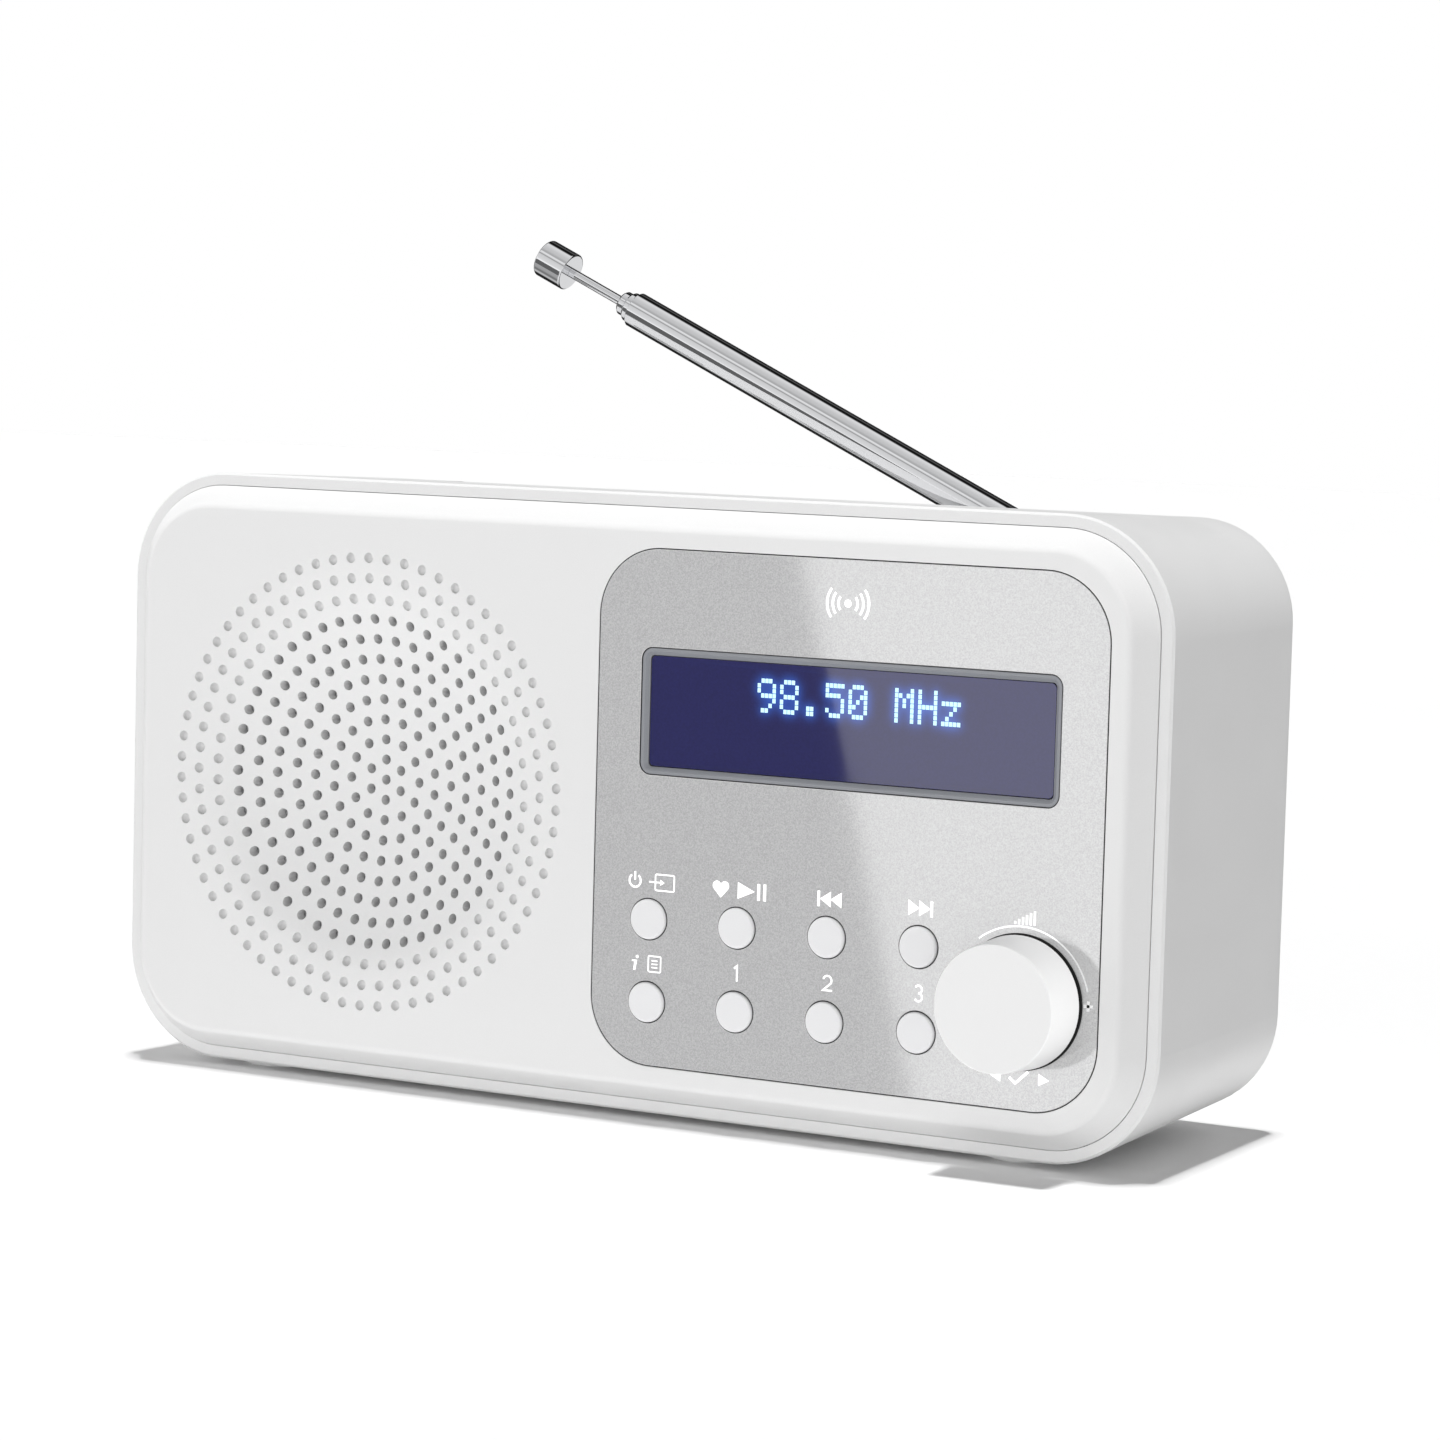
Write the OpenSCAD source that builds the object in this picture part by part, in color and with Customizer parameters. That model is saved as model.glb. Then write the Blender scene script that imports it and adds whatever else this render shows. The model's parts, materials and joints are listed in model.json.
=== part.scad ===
// Tabletop radio with a dished speaker grille, a control panel and a telescopic aerial.
// Units are millimetres. +X is right seen from the front, +Y runs back into the case, +Z is up.
// Inside case_frame() the front face is the plane y = 0 and the case is centred on x and z.

/* [Case] */
// Overall width of the case
body_w = 195; // [185:1:205]
// Overall height of the case, without its feet
body_h = 100.9; // [98:0.1:106]
// Depth of the case from the front face to the back
body_d = 58.5; // [58:0.5:62]
// Outer corner radius at the rim
corner_r = 18.5; // [16:0.5:19]
// Taper of the rear case towards the back, in degrees
draft = 2; // [1:0.25:2.25]
// Radius of the edge round the back
back_round = 3; // [2:0.5:3.5]
// Wall thickness of the rear case
case_wall = 2.3; // [2:0.1:2.6]
// How far the feet stand out below the case
foot_out = 1.1; // [1:0.1:3]
// Diameter of a foot
foot_d = 13; // [10:0.5:15]

/* [Front panel] */
// Width of the sloping edge round the front face
chamfer_w = 3.15; // [2.5:0.05:3.5]
// Depth of the sloping edge
chamfer_d = 4.1; // [3.5:0.1:4.2]
// Thickness of the front panel
panel_t = 2.6; // [2.4:0.1:3]
// Left edge of the control plate
plate_x0 = -1.2; // [-3:0.1:0]
// Right edge of the control plate
plate_x1 = 88.9; // [87:0.1:89.5]
// Half the height of the control plate
plate_half_h = 41.8; // [40:0.1:42.5]
// Corner radius of the control plate
plate_r = 11; // [8:0.5:12]
// Thickness of the control plate
plate_t = 1.2; // [1:0.1:1.3]

/* [Grille] */
// Where the grille is centred, left of the middle
grille_x = -46.5; // [-47:0.5:-45]
// Depth of the dish at its centre
dish_d = 6.6; // [6:0.1:6.8]
// Radius of the sphere that shapes the dish
dish_sphere_r = 87; // [85:1:89]
// Radius at which the dish meets the flat face
dish_edge_r = 39.5; // [39:0.5:40]
// Distance between neighbouring rings of holes
hole_pitch = 3.42; // [3.3:0.01:3.45]
// Diameter of one grille hole
hole_d = 1.7; // [1.4:0.1:1.8]
// Number of rings of holes round the centre hole
hole_rings = 11; // [9:1:11]
// Number of inner rings whose holes go right through
open_rings = 8; // [6:1:8]

/* [Controls] */
// Diameter of a key
key_d = 6.56; // [6:0.02:6.6]
// Centre of the leftmost key
key_x0 = 9.2; // [9:0.1:10]
// Distance between keys along a row
key_pitch_x = 16.25; // [16:0.05:16.5]
// Height of the upper row of keys
key_z0 = -18; // [-19:0.5:-17.5]
// Distance between the two rows of keys
key_pitch_z = 13.5; // [12:0.5:14]
// How far a key stands out of the plate
key_out = 0.5; // [0.3:0.1:1]
// How far a key travels
key_travel = 0.6; // [0.3:0.1:0.7]
// Centre of the volume knob across the case
knob_x = 75.6; // [75:0.1:76]
// Centre of the volume knob in height
knob_z = -24.9; // [-26:0.1:-24]
// Diameter of the knob at the plate
knob_base_d = 21; // [19:0.1:21.4]
// Diameter of the knob at its face
knob_face_d = 20; // [18:0.1:20.4]
// How far the knob stands out of the plate
knob_out = 9.5; // [8.5:0.1:11]
// How far the knob travels when it is pressed
knob_travel = 0.5; // [0.3:0.1:0.6]

/* [Display] */
// Left edge of the display opening
display_x0 = 6.7; // [6:0.1:8]
// Right edge of the display opening
display_x1 = 81.2; // [80:0.1:82]
// Bottom edge of the display opening
display_z0 = 5.4; // [5:0.1:7]
// Top edge of the display opening
display_z1 = 26; // [25:0.1:27]
// Visible width of the frame round the display
bezel_w = 1.3; // [1:0.1:1.6]

/* [Aerial] */
// Where the aerial pivots across the case
pivot_x = 66.5; // [65:0.5:67]
// Where the aerial pivots in height
pivot_z = 36; // [35.5:0.1:36.5]
// Angle of the aerial above level at rest
aerial_angle = 25; // [20:1:40]
// Outside diameter of the main tube
tube_d = 6.3; // [6:0.1:6.4]
// Distance from the pivot to the open end of the main tube
tube_end = 104.3; // [95:0.1:106]
// How far the thin rod is pulled out at rest
rod_out = 11.5; // [5:0.5:12]
// Diameter of the thin rod
rod_d = 1.7; // [1.5:0.1:1.8]

/* [Hidden] */
$fn = 64;

// Colours
white = [0.93, 0.93, 0.92];
silver = [0.74, 0.75, 0.76];
chrome = [0.82, 0.83, 0.85];
board_green = [0.10, 0.35, 0.18];
dark = [0.12, 0.12, 0.13];
steel = [0.62, 0.63, 0.65];

// Room left between pieces
gap = 0.1;            // between parts that lie against each other
running = 0.05;       // radial clearance of a running fit
over = 1;             // how far a cutting shape runs past a face

// The case is centred on the row's origin: the knob's face in front, the case's back behind
face_y = knob_out - (body_d + knob_out) / 2;
case_z = body_h / 2 + foot_out;
corner_x = body_w / 2 - corner_r;
corner_z = body_h / 2 - corner_r;

// Front panel outline, as radii about the corner centres
seam_r = corner_r - 2.2;
face_r = seam_r - chamfer_w;
rim_d = chamfer_d + 0.2;       // depth of the rear case's forward rim
skirt_d = 9.2;                 // depth at which the panel's skirt ends
skirt_t = 1.8;
plate_seat_d = plate_t + 0.05; // depth of the seat that holds the control plate
hairline = 0.15;               // gap round the control plate

// Dish: a sphere whose rim runs out to the flat face along a shallow cone
dish_centre_d = dish_d - dish_sphere_r;
dish_blend_r = 28.7;
dish_blend_d = sqrt(pow(dish_sphere_r, 2) - pow(dish_blend_r, 2)) + dish_centre_d;
dish_slope = dish_blend_d / (dish_edge_r - dish_blend_r);
dish_wall = 2.2;
dimple_d = 1.1;
grille_rib_r = 34;
dish_back_r = dish_sphere_r + dish_wall;

// Keys
key_r = key_d / 2;
key_hole_r = key_r + 0.17;
key_flange_r = 4.6;
key_flange_d = panel_t + gap;
key_flange_t = 1;
key_pusher_r = 1.5;
key_pusher_end = 6.4;

// Boards
control_pcb_d = 10;
pcb_t = 1.6;
control_pcb_x = [1, 87];
control_pcb_half_h = 40.5;
control_screw_x = [4.2, 72];
control_screw_z = 37.6;
main_pcb_d = 45;
main_pcb_x = [-77, -7];
main_pcb_z = [-40, 26];
main_screw_x = [-73.5, -10.5];
main_screw_z = [-36.5, 22.5];
screw_r = 1.2;
screw_hole_r = 1.25;
screw_head_r = 2.6;

// Encoder under the knob
encoder_d0 = 3.6;
encoder_half = 6;
bush_front_d = -3.6;
shaft_r = 3;
shaft_end_d = 8.1;
plunger_t = 0.7;

// Speaker, behind the grille
speaker_flange_d = 10.95;
speaker_flange_t = 1.1;
speaker_flange_r = 35;
speaker_ear_r = 39.5;
speaker_inner_r = 29.5;
basket_back_d = 25;
magnet_r = 20;
magnet_d1 = 39.5;
coil_r = 9.4;

// Case screws
boss_x = 84;
boss_z = 37;
boss_r = 5;
boss_split_d = 20;
screw_seat_d = 26;

// Battery bay, seen from the back
bay_x = [12, 76];
bay_z = [-37, 24];
bay_front_d = body_d - 19;
bay_wall = 2;
door_t = 2.2;
door_lip = 1.5;
door_seat_d = body_d - door_t - 0.1 - gap;
door_hinge_r = door_t / 2;
door_hinge_d = body_d - 0.1 - door_hinge_r;
door_z0 = bay_z[0] - door_lip;
door_z1 = bay_z[1] + door_lip;
cell_r = 7.1;
cell_len = 50;
cell_pitch = 16;
cell_x0 = bay_x[0] + cell_pitch / 2;
cell_axis_d = bay_front_d + 1 + cell_r;
cell_z0 = bay_z[0] + 5.2;

// Recess across the top of the back, where the aerial folds away
recess_x = [-64, 77];
recess_z0 = pivot_z - 6;
recess_front_d = body_d - 9.4;
recess_wall = 2.2;
aerial_d = body_d - 4.5;

// Aerial, measured from its pivot along the tube
neck_end = 7;
tongue_t = 3;
tongue_r = 2.9;
ear_t = 1.5;
ear_r = 3;
pin_r = 0.9;
swivel_disc_r = 5.3;
journal_r = 2;
bush_r = 4;
tube_wall = 0.4;
section_gap = 0.1;
section_2_r = tube_d / 2 - tube_wall - section_gap;
section_3_r = section_2_r - tube_wall - section_gap;
section_2_end = tube_end + 1.3;
section_3_end = section_2_end + 1.5;
tip_len = 5.9;
tip_r = 3.4;
tip_start = section_3_end + 0.3 + rod_out;
rod_start = tip_start - 91;

// Sockets in the back
jack_z = -29;
dc_jack_x = -64;
line_jack_x = -46;
phone_jack_x = -30;
socket_r = 1.8;
socket_len = 12;
jack_face_d = body_d - 0.4;

// Leads, as routes of hand-placed points
lead_r = 0.6;
speaker_lead_route = [[-26, 24, -23], [-22, 27, -26], [-16, 31, -27], [-11, 35, -25], [-9, 40, -22], [-9, 44.9, -22]];
battery_lead_route = [[9.9, 44, -10], [7, 44, -10], [3, 45, -12], [-1, 46.5, -12.5], [-5, 47.3, -12.5], [-9, 47.3, -12.5]];
aerial_lead_route = [[66.5, 41, 36], [62, 37, 33], [50, 32, 29], [30, 30, 24], [10, 32, 20], [-4, 37, 16], [-9.5, 41, 14], [-9.5, 44.9, 14]];

// ---------- shared shapes ----------

// Places its children in the frame of the case
module case_frame() translate([0, face_y, case_z]) children();

// A flat outline drawn as it is seen from the front, from depth d0 to depth d1
module slab(d0, d1) {
    translate([0, d1, 0]) rotate([90, 0, 0]) linear_extrude(height = d1 - d0) children();
}

// A round bar along the depth, from d0 to d1
module bar(x, z, d0, d1, r, facets = $fn) {
    translate([x, d1, z]) rotate([90, 0, 0]) cylinder(r = r, h = d1 - d0, $fn = facets);
}

// A box between two corners given as [low, high] pairs
module block(xs, ds, zs) {
    translate([xs[0], ds[0], zs[0]]) cube([xs[1] - xs[0], ds[1] - ds[0], zs[1] - zs[0]]);
}

// A shape turned about a line along the depth; the profile's points are [radius, depth]
module turned(x, z, profile) {
    translate([x, 0, z]) rotate([-90, 0, 0]) rotate_extrude() polygon(profile);
}

// An arc as points, from angle a0 to a1 in n steps
function arc(cx, cy, r, a0, a1, n) = [
    for (i = [0:n]) [cx + r * cos(a0 + (a1 - a0) * i / n), cy + r * sin(a0 + (a1 - a0) * i / n)]
];

// A rounded rectangle between two corners
module rounded_rect(xs, zs, r) {
    translate([xs[0] + r, zs[0]]) square([xs[1] - xs[0] - 2 * r, zs[1] - zs[0]]);
    translate([xs[0], zs[0] + r]) square([xs[1] - xs[0], zs[1] - zs[0] - 2 * r]);
    for (x = [xs[0] + r, xs[1] - r], z = [zs[0] + r, zs[1] - r])
        translate([x, z]) circle(r);
}

// A block with round corners whose side follows a profile of [radius, depth] points.
// The radius is measured from the corner centres, so the side may lean or step.
module rounded_block(profile) {
    d_first = profile[0][1];
    d_last = profile[len(profile) - 1][1];
    for (corner = [[1, 1, 270], [1, -1, 0], [-1, -1, 90], [-1, 1, 180]])
        translate([corner[0] * corner_x, 0, corner[1] * corner_z])
            rotate([-90, 0, 0]) rotate([0, 0, corner[2]])
                rotate_extrude(angle = 90) polygon(profile);
    for (turn = [0, 180])
        rotate([0, turn, 0]) {
            translate([corner_x, 0, -corner_z]) linear_extrude(height = 2 * corner_z) polygon(profile);
            translate([corner_x, 0, corner_z]) rotate([0, -90, 0])
                linear_extrude(height = 2 * corner_x) polygon(profile);
        }
    block([-corner_x, corner_x], [d_first, d_last], [-corner_z, corner_z]);
}

// A lead of small diameter swept along hand-placed points
module lead(route, r) {
    sides = 8;
    count = len(route);
    function way(i) = route[min(i + 1, count - 1)] - route[max(i - 1, 0)];
    function unit(v) = v / norm(v);
    function side(v) = unit(cross(v, [0.13, 0.21, 1]));
    points = [
        for (i = [0:count - 1], k = [0:sides - 1])
            let (v = unit(way(i)), a = side(v), b = cross(v, a))
                route[i] + r * (a * cos(360 * k / sides) + b * sin(360 * k / sides))
    ];
    walls = [
        for (i = [0:count - 2], k = [0:sides - 1])
            [i * sides + k, i * sides + (k + 1) % sides, (i + 1) * sides + (k + 1) % sides, (i + 1) * sides + k]
    ];
    first_cap = [[for (k = [0:sides - 1]) sides - 1 - k]];
    last_cap = [[for (k = [0:sides - 1]) (count - 1) * sides + k]];
    polyhedron(points, concat(walls, first_cap, last_cap), convexity = 4);
}

// Self-tapping screw along the depth; its head's underside lies at depth d and its shank runs forward
module screw_forward(x, z, d, shank_len) {
    difference() {
        turned(x, z, [[0, d - shank_len], [screw_r, d - shank_len], [screw_r, d],
            [screw_head_r, d], [screw_head_r, d + 0.8], [1.6, d + 1.6], [0, d + 1.6]]);
        block([x - 1.4, x + 1.4], [d + 0.8, d + 2], [z - 0.25, z + 0.25]);
        block([x - 0.25, x + 0.25], [d + 0.8, d + 2], [z - 1.4, z + 1.4]);
    }
}

// Where the four feet stand: [x, depth, height of the socket's roof]
foot_places = [
    for (x = [-71.4, 71.4], row = [[13.6, 2], [46, 3.2]]) [x, row[0], -body_h / 2 - foot_out + row[1]]
];

// ---------- casing ----------

// Outside of the rear case
module rear_outline() {
    back_r = corner_r - tan(draft) * (body_d - back_round - rim_d);
    rounded_block(concat(
        [[0, rim_d], [corner_r - 0.4, rim_d], [corner_r, rim_d + 0.4]],
        arc(back_r - back_round, body_d - back_round, back_round, 0, 90, 8),
        [[0, body_d]]
    ));
}

module front_panel() case_frame() color(white) {
    boss_places = [for (x = control_screw_x, z = [-1, 1]) [x, z * control_screw_z]];
    difference() {
        union() {
            difference() {
                rounded_block([[0, 0], [face_r, 0], [seam_r, chamfer_d], [seam_r - 0.1, chamfer_d],
                    [seam_r - 0.1, skirt_d], [0, skirt_d]]);
                rounded_block([[0, panel_t], [face_r - 1.2, panel_t], [seam_r - skirt_t, chamfer_d + 1.6],
                    [seam_r - skirt_t, skirt_d + over], [0, skirt_d + over]]);
            }
            // wall behind the dish, and the rib that the speaker's gasket sits on
            intersection() {
                translate([grille_x, dish_centre_d, 0]) sphere(r = dish_back_r, $fn = 128);
                bar(grille_x, 0, panel_t - 0.6, dish_d + dish_wall + over, grille_rib_r);
            }
            difference() {
                bar(grille_x, 0, panel_t - 0.5, speaker_flange_d - 1.6, grille_rib_r);
                bar(grille_x, 0, 0, speaker_flange_d, grille_rib_r - 2.6);
            }
            for (place = boss_places) bar(place[0], place[1], panel_t - 0.5, control_pcb_d - 0.05, 3);
            for (a = [45:90:315])
                bar(grille_x + speaker_ear_r * cos(a), speaker_ear_r * sin(a), panel_t - 0.5,
                    speaker_flange_d - 0.05, 3.4);
            for (x = [-boss_x, boss_x], z = [-boss_z, boss_z])
                bar(x, z, panel_t - 0.5, boss_split_d - gap, 3.5);
        }
        // the dish
        translate([grille_x, dish_centre_d, 0]) sphere(r = dish_sphere_r, $fn = 128);
        turned(grille_x, 0, [[0, -over], [dish_edge_r + over / dish_slope, -over], [dish_edge_r, 0],
            [dish_blend_r - 2, dish_blend_d + 2 * dish_slope], [0, dish_blend_d + 2 * dish_slope]]);
        grille_holes();
        // seat of the control plate and what passes through it
        slab(-over, plate_seat_d)
            rounded_rect([plate_x0 - hairline, plate_x1 + hairline],
                [-plate_half_h - hairline, plate_half_h + hairline], plate_r + hairline);
        slab(0, panel_t + over) rounded_rect([display_x0, display_x1], [display_z0, display_z1], 2);
        for (i = [0:3], j = [0:1])
            bar(key_x0 + i * key_pitch_x, key_z0 - j * key_pitch_z, 0, panel_t + over, key_hole_r + 0.1);
        bar(knob_x, knob_z, 0, panel_t + over, 3.8);
        // screw holes
        for (place = boss_places) bar(place[0], place[1], 4, control_pcb_d + over, screw_hole_r);
        for (a = [45:90:315])
            bar(grille_x + speaker_ear_r * cos(a), speaker_ear_r * sin(a), 4,
                speaker_flange_d + over, screw_hole_r);
        for (x = [-boss_x, boss_x], z = [-boss_z, boss_z])
            bar(x, z, 8, boss_split_d + over, 1.55);
    }
}

// Rings of holes; those of the outer rings are blind dimples
module grille_holes() {
    bar(grille_x, 0, 0, dish_d + 2 * dish_wall, hole_d / 2);
    for (ring = [1:hole_rings], i = [0:6 * ring - 1]) {
        r = ring * hole_pitch;
        a = (i + (ring % 2) / 2) * 60 / ring;
        surface_d = max(0, dish_slope * (dish_edge_r - r));
        end_d = ring <= open_rings ? dish_d + 2 * dish_wall : surface_d + dimple_d;
        bar(grille_x + r * cos(a), r * sin(a), 0, end_d, hole_d / 2, 24);
    }
}

module rear_case() case_frame() color(white) {
    inner_r = seam_r + 0.1;
    back_inner_r = corner_r - case_wall - tan(draft) * (body_d - case_wall - rim_d);
    difference() {
        union() {
            difference() {
                rear_outline();
                rounded_block([[0, rim_d - over], [inner_r, rim_d - over], [inner_r, skirt_d + 0.2],
                    [inner_r - 0.3, skirt_d + 0.2], [back_inner_r, body_d - case_wall], [0, body_d - case_wall]]);
            }
            intersection() {
                rear_outline();
                union() {
                    // walls of the aerial's recess
                    block([recess_x[0] - recess_wall, recess_x[1] + recess_wall],
                        [recess_front_d - recess_wall, body_d], [recess_z0 - recess_wall, body_h]);
                    // walls of the battery bay
                    block([bay_x[0] - bay_wall, bay_x[1] + bay_wall],
                        [bay_front_d - bay_wall, body_d - 1], [bay_z[0] - bay_wall, bay_z[1] + bay_wall]);
                    for (x = [-boss_x, boss_x], z = [-boss_z, boss_z])
                        bar(x, z, boss_split_d, body_d - 1, boss_r);
                    for (x = main_screw_x, z = main_screw_z)
                        bar(x, z, main_pcb_d + pcb_t + 0.05, body_d - 1, 3);
                }
            }
        }
        // recess, open at the top and at the back
        block(recess_x, [recess_front_d, body_d + over], [recess_z0, body_h]);
        bar(pivot_x, pivot_z, recess_front_d - 2 * recess_wall, body_d, bush_r + gap);
        // battery bay, its door's seat and the door's hinge holes
        block(bay_x, [bay_front_d, body_d + over], bay_z);
        block([bay_x[0] - door_lip - gap, bay_x[1] + door_lip + gap], [door_seat_d, body_d + over],
            [door_z0 - gap, door_z1 + gap]);
        translate([bay_x[0] - door_lip - 1.4, door_hinge_d, door_z0 + door_hinge_r]) rotate([0, 90, 0])
            cylinder(r = 0.8 + running, h = bay_x[1] - bay_x[0] + 2 * door_lip + 2.8);
        // case screws
        for (x = [-boss_x, boss_x], z = [-boss_z, boss_z]) {
            bar(x, z, screw_seat_d, body_d + over, 3.6);
            bar(x, z, boss_split_d - over, screw_seat_d + over, 1.8);
        }
        for (x = main_screw_x, z = main_screw_z)
            bar(x, z, main_pcb_d + pcb_t - over, main_pcb_d + pcb_t + 7, screw_hole_r);
        // openings for the sockets
        bar(phone_jack_x, jack_z, body_d - 2 * case_wall, body_d + over, 3.6);
        bar(line_jack_x, jack_z, body_d - 2 * case_wall, body_d + over, 3.6);
        bar(dc_jack_x, jack_z, body_d - 2 * case_wall, body_d + over, 5.1);
        // sockets that the feet are glued into
        for (place = foot_places)
            translate([place[0], place[1], -body_h]) cylinder(r = foot_d / 2 + gap, h = place[2] + body_h);
        // slots that let the sound in the case breathe
        for (i = [0:6])
            block([-60, -34], [body_d - 2 * case_wall, body_d + over], [-8 + i * 4, -6.4 + i * 4]);
    }
}

module feet() case_frame() color(white) {
    ground = -body_h / 2 - foot_out;
    for (place = foot_places)
        translate([place[0], place[1], ground]) rotate_extrude()
            polygon(concat([[0, 0]], arc(foot_d / 2 - 0.5, 0.5, 0.5, -90, 0, 4),
                [[foot_d / 2, place[2] - ground], [0, place[2] - ground]]));
}

module control_plate() case_frame() color(silver) {
    slab(0, plate_t) difference() {
        rounded_rect([plate_x0, plate_x1], [-plate_half_h, plate_half_h], plate_r);
        rounded_rect([display_x0, display_x1], [display_z0, display_z1], 2);
        for (i = [0:3], j = [0:1])
            translate([key_x0 + i * key_pitch_x, key_z0 - j * key_pitch_z]) circle(key_hole_r);
        translate([knob_x, knob_z]) circle(3.7);
    }
}

module battery_door() case_frame() color(white) {
    x0 = bay_x[0] - door_lip;
    x1 = bay_x[1] + door_lip;
    axis_z = door_z0 + door_hinge_r;
    difference() {
        union() {
            block([x0, x1], [door_hinge_d - door_hinge_r, door_hinge_d + door_hinge_r], [axis_z, door_z1]);
            translate([x0, door_hinge_d, axis_z]) rotate([0, 90, 0]) cylinder(r = door_hinge_r, h = x1 - x0);
            translate([x0 - 1.2, door_hinge_d, axis_z]) rotate([0, 90, 0]) cylinder(r = 0.8, h = x1 - x0 + 2.4);
        }
        // thumb grip along the top edge
        for (i = [0:4])
            block([x0 + 22, x1 - 22], [body_d - 0.8, body_d + over], [door_z1 - 10 + i * 1.6, door_z1 - 9.2 + i * 1.6]);
    }
}

module case_screws() case_frame() color(steel) {
    for (x = [-boss_x, boss_x], z = [-boss_z, boss_z]) difference() {
        turned(x, z, [[0, screw_seat_d - 14], [1.5, screw_seat_d - 14], [1.5, screw_seat_d],
            [2.9, screw_seat_d], [2.9, screw_seat_d + 1.2], [2, screw_seat_d + 2.2], [0, screw_seat_d + 2.2]]);
        block([x - 1.6, x + 1.6], [screw_seat_d + 1, screw_seat_d + 3], [z - 0.3, z + 0.3]);
        block([x - 0.3, x + 0.3], [screw_seat_d + 1, screw_seat_d + 3], [z - 1.6, z + 1.6]);
    }
}

// ---------- display ----------

module display_bezel() case_frame() color([0.62, 0.63, 0.65]) {
    slab(0.1, panel_t) difference() {
        rounded_rect([display_x0 + gap, display_x1 - gap], [display_z0 + gap, display_z1 - gap], 1.9);
        rounded_rect([display_x0 + bezel_w, display_x1 - bezel_w], [display_z0 + bezel_w, display_z1 - bezel_w], 1);
    }
}

module display_lens() case_frame() color([0.10, 0.10, 0.22]) {
    slab(0.8, 1.3)
        rounded_rect([display_x0 + bezel_w + gap, display_x1 - bezel_w - gap],
            [display_z0 + bezel_w + gap, display_z1 - bezel_w - gap], 0.9);
}

module lcd_glass() case_frame() color([0.12, 0.12, 0.30]) {
    slab(1.4, panel_t + 0.3)
        rounded_rect([display_x0 + bezel_w + 0.2, display_x1 - bezel_w - 0.2],
            [display_z0 + bezel_w + 0.2, display_z1 - bezel_w - 0.2], 0.8);
    block([display_x0 - 2.5, display_x1 + 2.5], [panel_t + gap, panel_t + 1.9], [display_z0 - 3, display_z1 + 3]);
}

module lcd_backlight() case_frame() color([0.85, 0.87, 0.92]) {
    block([display_x0 - 2.5, display_x1 + 2.5], [panel_t + 2, control_pcb_d - gap], [display_z0 - 3, display_z1 + 3]);
}

// ---------- keys and boards ----------

module key(i, j) case_frame() color([0.84, 0.85, 0.86]) {
    edge = 0.5;
    turned(key_x0 + i * key_pitch_x, key_z0 - j * key_pitch_z, concat(
        [[0, -key_out]],
        arc(key_r - edge, edge - key_out, edge, -90, 0, 5),
        [[key_r, key_flange_d], [key_flange_r, key_flange_d],
            [key_flange_r, key_flange_d + key_flange_t], [key_pusher_r, key_flange_d + key_flange_t],
            [key_pusher_r, key_pusher_end], [0, key_pusher_end]]
    ));
}

module tact_switches() case_frame() color(dark) {
    for (i = [0:3], j = [0:1]) {
        x = key_x0 + i * key_pitch_x;
        z = key_z0 - j * key_pitch_z;
        difference() {
            block([x - 3, x + 3], [6.5, control_pcb_d - 0.05], [z - 3, z + 3]);
            bar(x, z, 5, key_pusher_end + key_travel + 0.3, key_pusher_r + gap);
        }
    }
}

module control_pcb() case_frame() color(board_green) {
    slab(control_pcb_d, control_pcb_d + pcb_t) difference() {
        translate([control_pcb_x[0], -control_pcb_half_h])
            square([control_pcb_x[1] - control_pcb_x[0], 2 * control_pcb_half_h]);
        for (x = control_screw_x, z = [-1, 1]) translate([x, z * control_screw_z]) circle(1.5);
        translate([boss_x, boss_z]) circle(4.2);
        translate([boss_x, -boss_z]) circle(4.2);
    }
}

module main_pcb() case_frame() color(board_green) {
    slab(main_pcb_d, main_pcb_d + pcb_t) difference() {
        translate([main_pcb_x[0], main_pcb_z[0]])
            square([main_pcb_x[1] - main_pcb_x[0], main_pcb_z[1] - main_pcb_z[0]]);
        for (x = main_screw_x, z = main_screw_z) translate([x, z]) circle(1.5);
    }
}

module tuner_shield() case_frame() color(steel) {
    difference() {
        block([-74, -54], [main_pcb_d - 4.5, main_pcb_d - 0.05], [-31, -21.5]);
        block([-73.6, -54.4], [main_pcb_d - 4.1, main_pcb_d + over], [-30.6, -21.9]);
    }
}

module pcb_chips() case_frame() color(dark) {
    for (chip = [[-40, -34, 12, 8], [-24, -34, 8, 6], [-20, 8, 7, 7]])
        block([chip[0], chip[0] + chip[2]], [main_pcb_d - 1.4, main_pcb_d - 0.02], [chip[1], chip[1] + chip[3]]);
    for (can = [[-70, 10, 4], [-70, 0, 3.2], [-20, -16, 3.2]])
        bar(can[0], can[1], main_pcb_d - 5, main_pcb_d - 0.02, can[2]);
    for (chip = [[22, -10, 10, 10], [40, -8, 7, 5], [30, 30, 9, 5]])
        block([chip[0], chip[0] + chip[2]], [control_pcb_d + pcb_t + 0.02, control_pcb_d + pcb_t + 1.2],
            [chip[1], chip[1] + chip[3]]);
}

// Flat cable from the control board to the main board, bent twice in plan
module ribbon_cable() case_frame() color([0.75, 0.76, 0.78]) {
    thickness = 0.3;
    d0 = control_pcb_d + pcb_t + 0.05;
    d1 = main_pcb_d - 0.05;
    translate([0, 0, -6]) linear_extrude(height = 14) polygon([
        [4, d0], [8, d0], [8, d0 + thickness], [4.3, d0 + thickness], [-13, d1 - 2], [-13, d1],
        [-13 - thickness, d1], [-13 - thickness, d1 - 2.1], [4, d0 + 0.1]
    ]);
}

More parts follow.
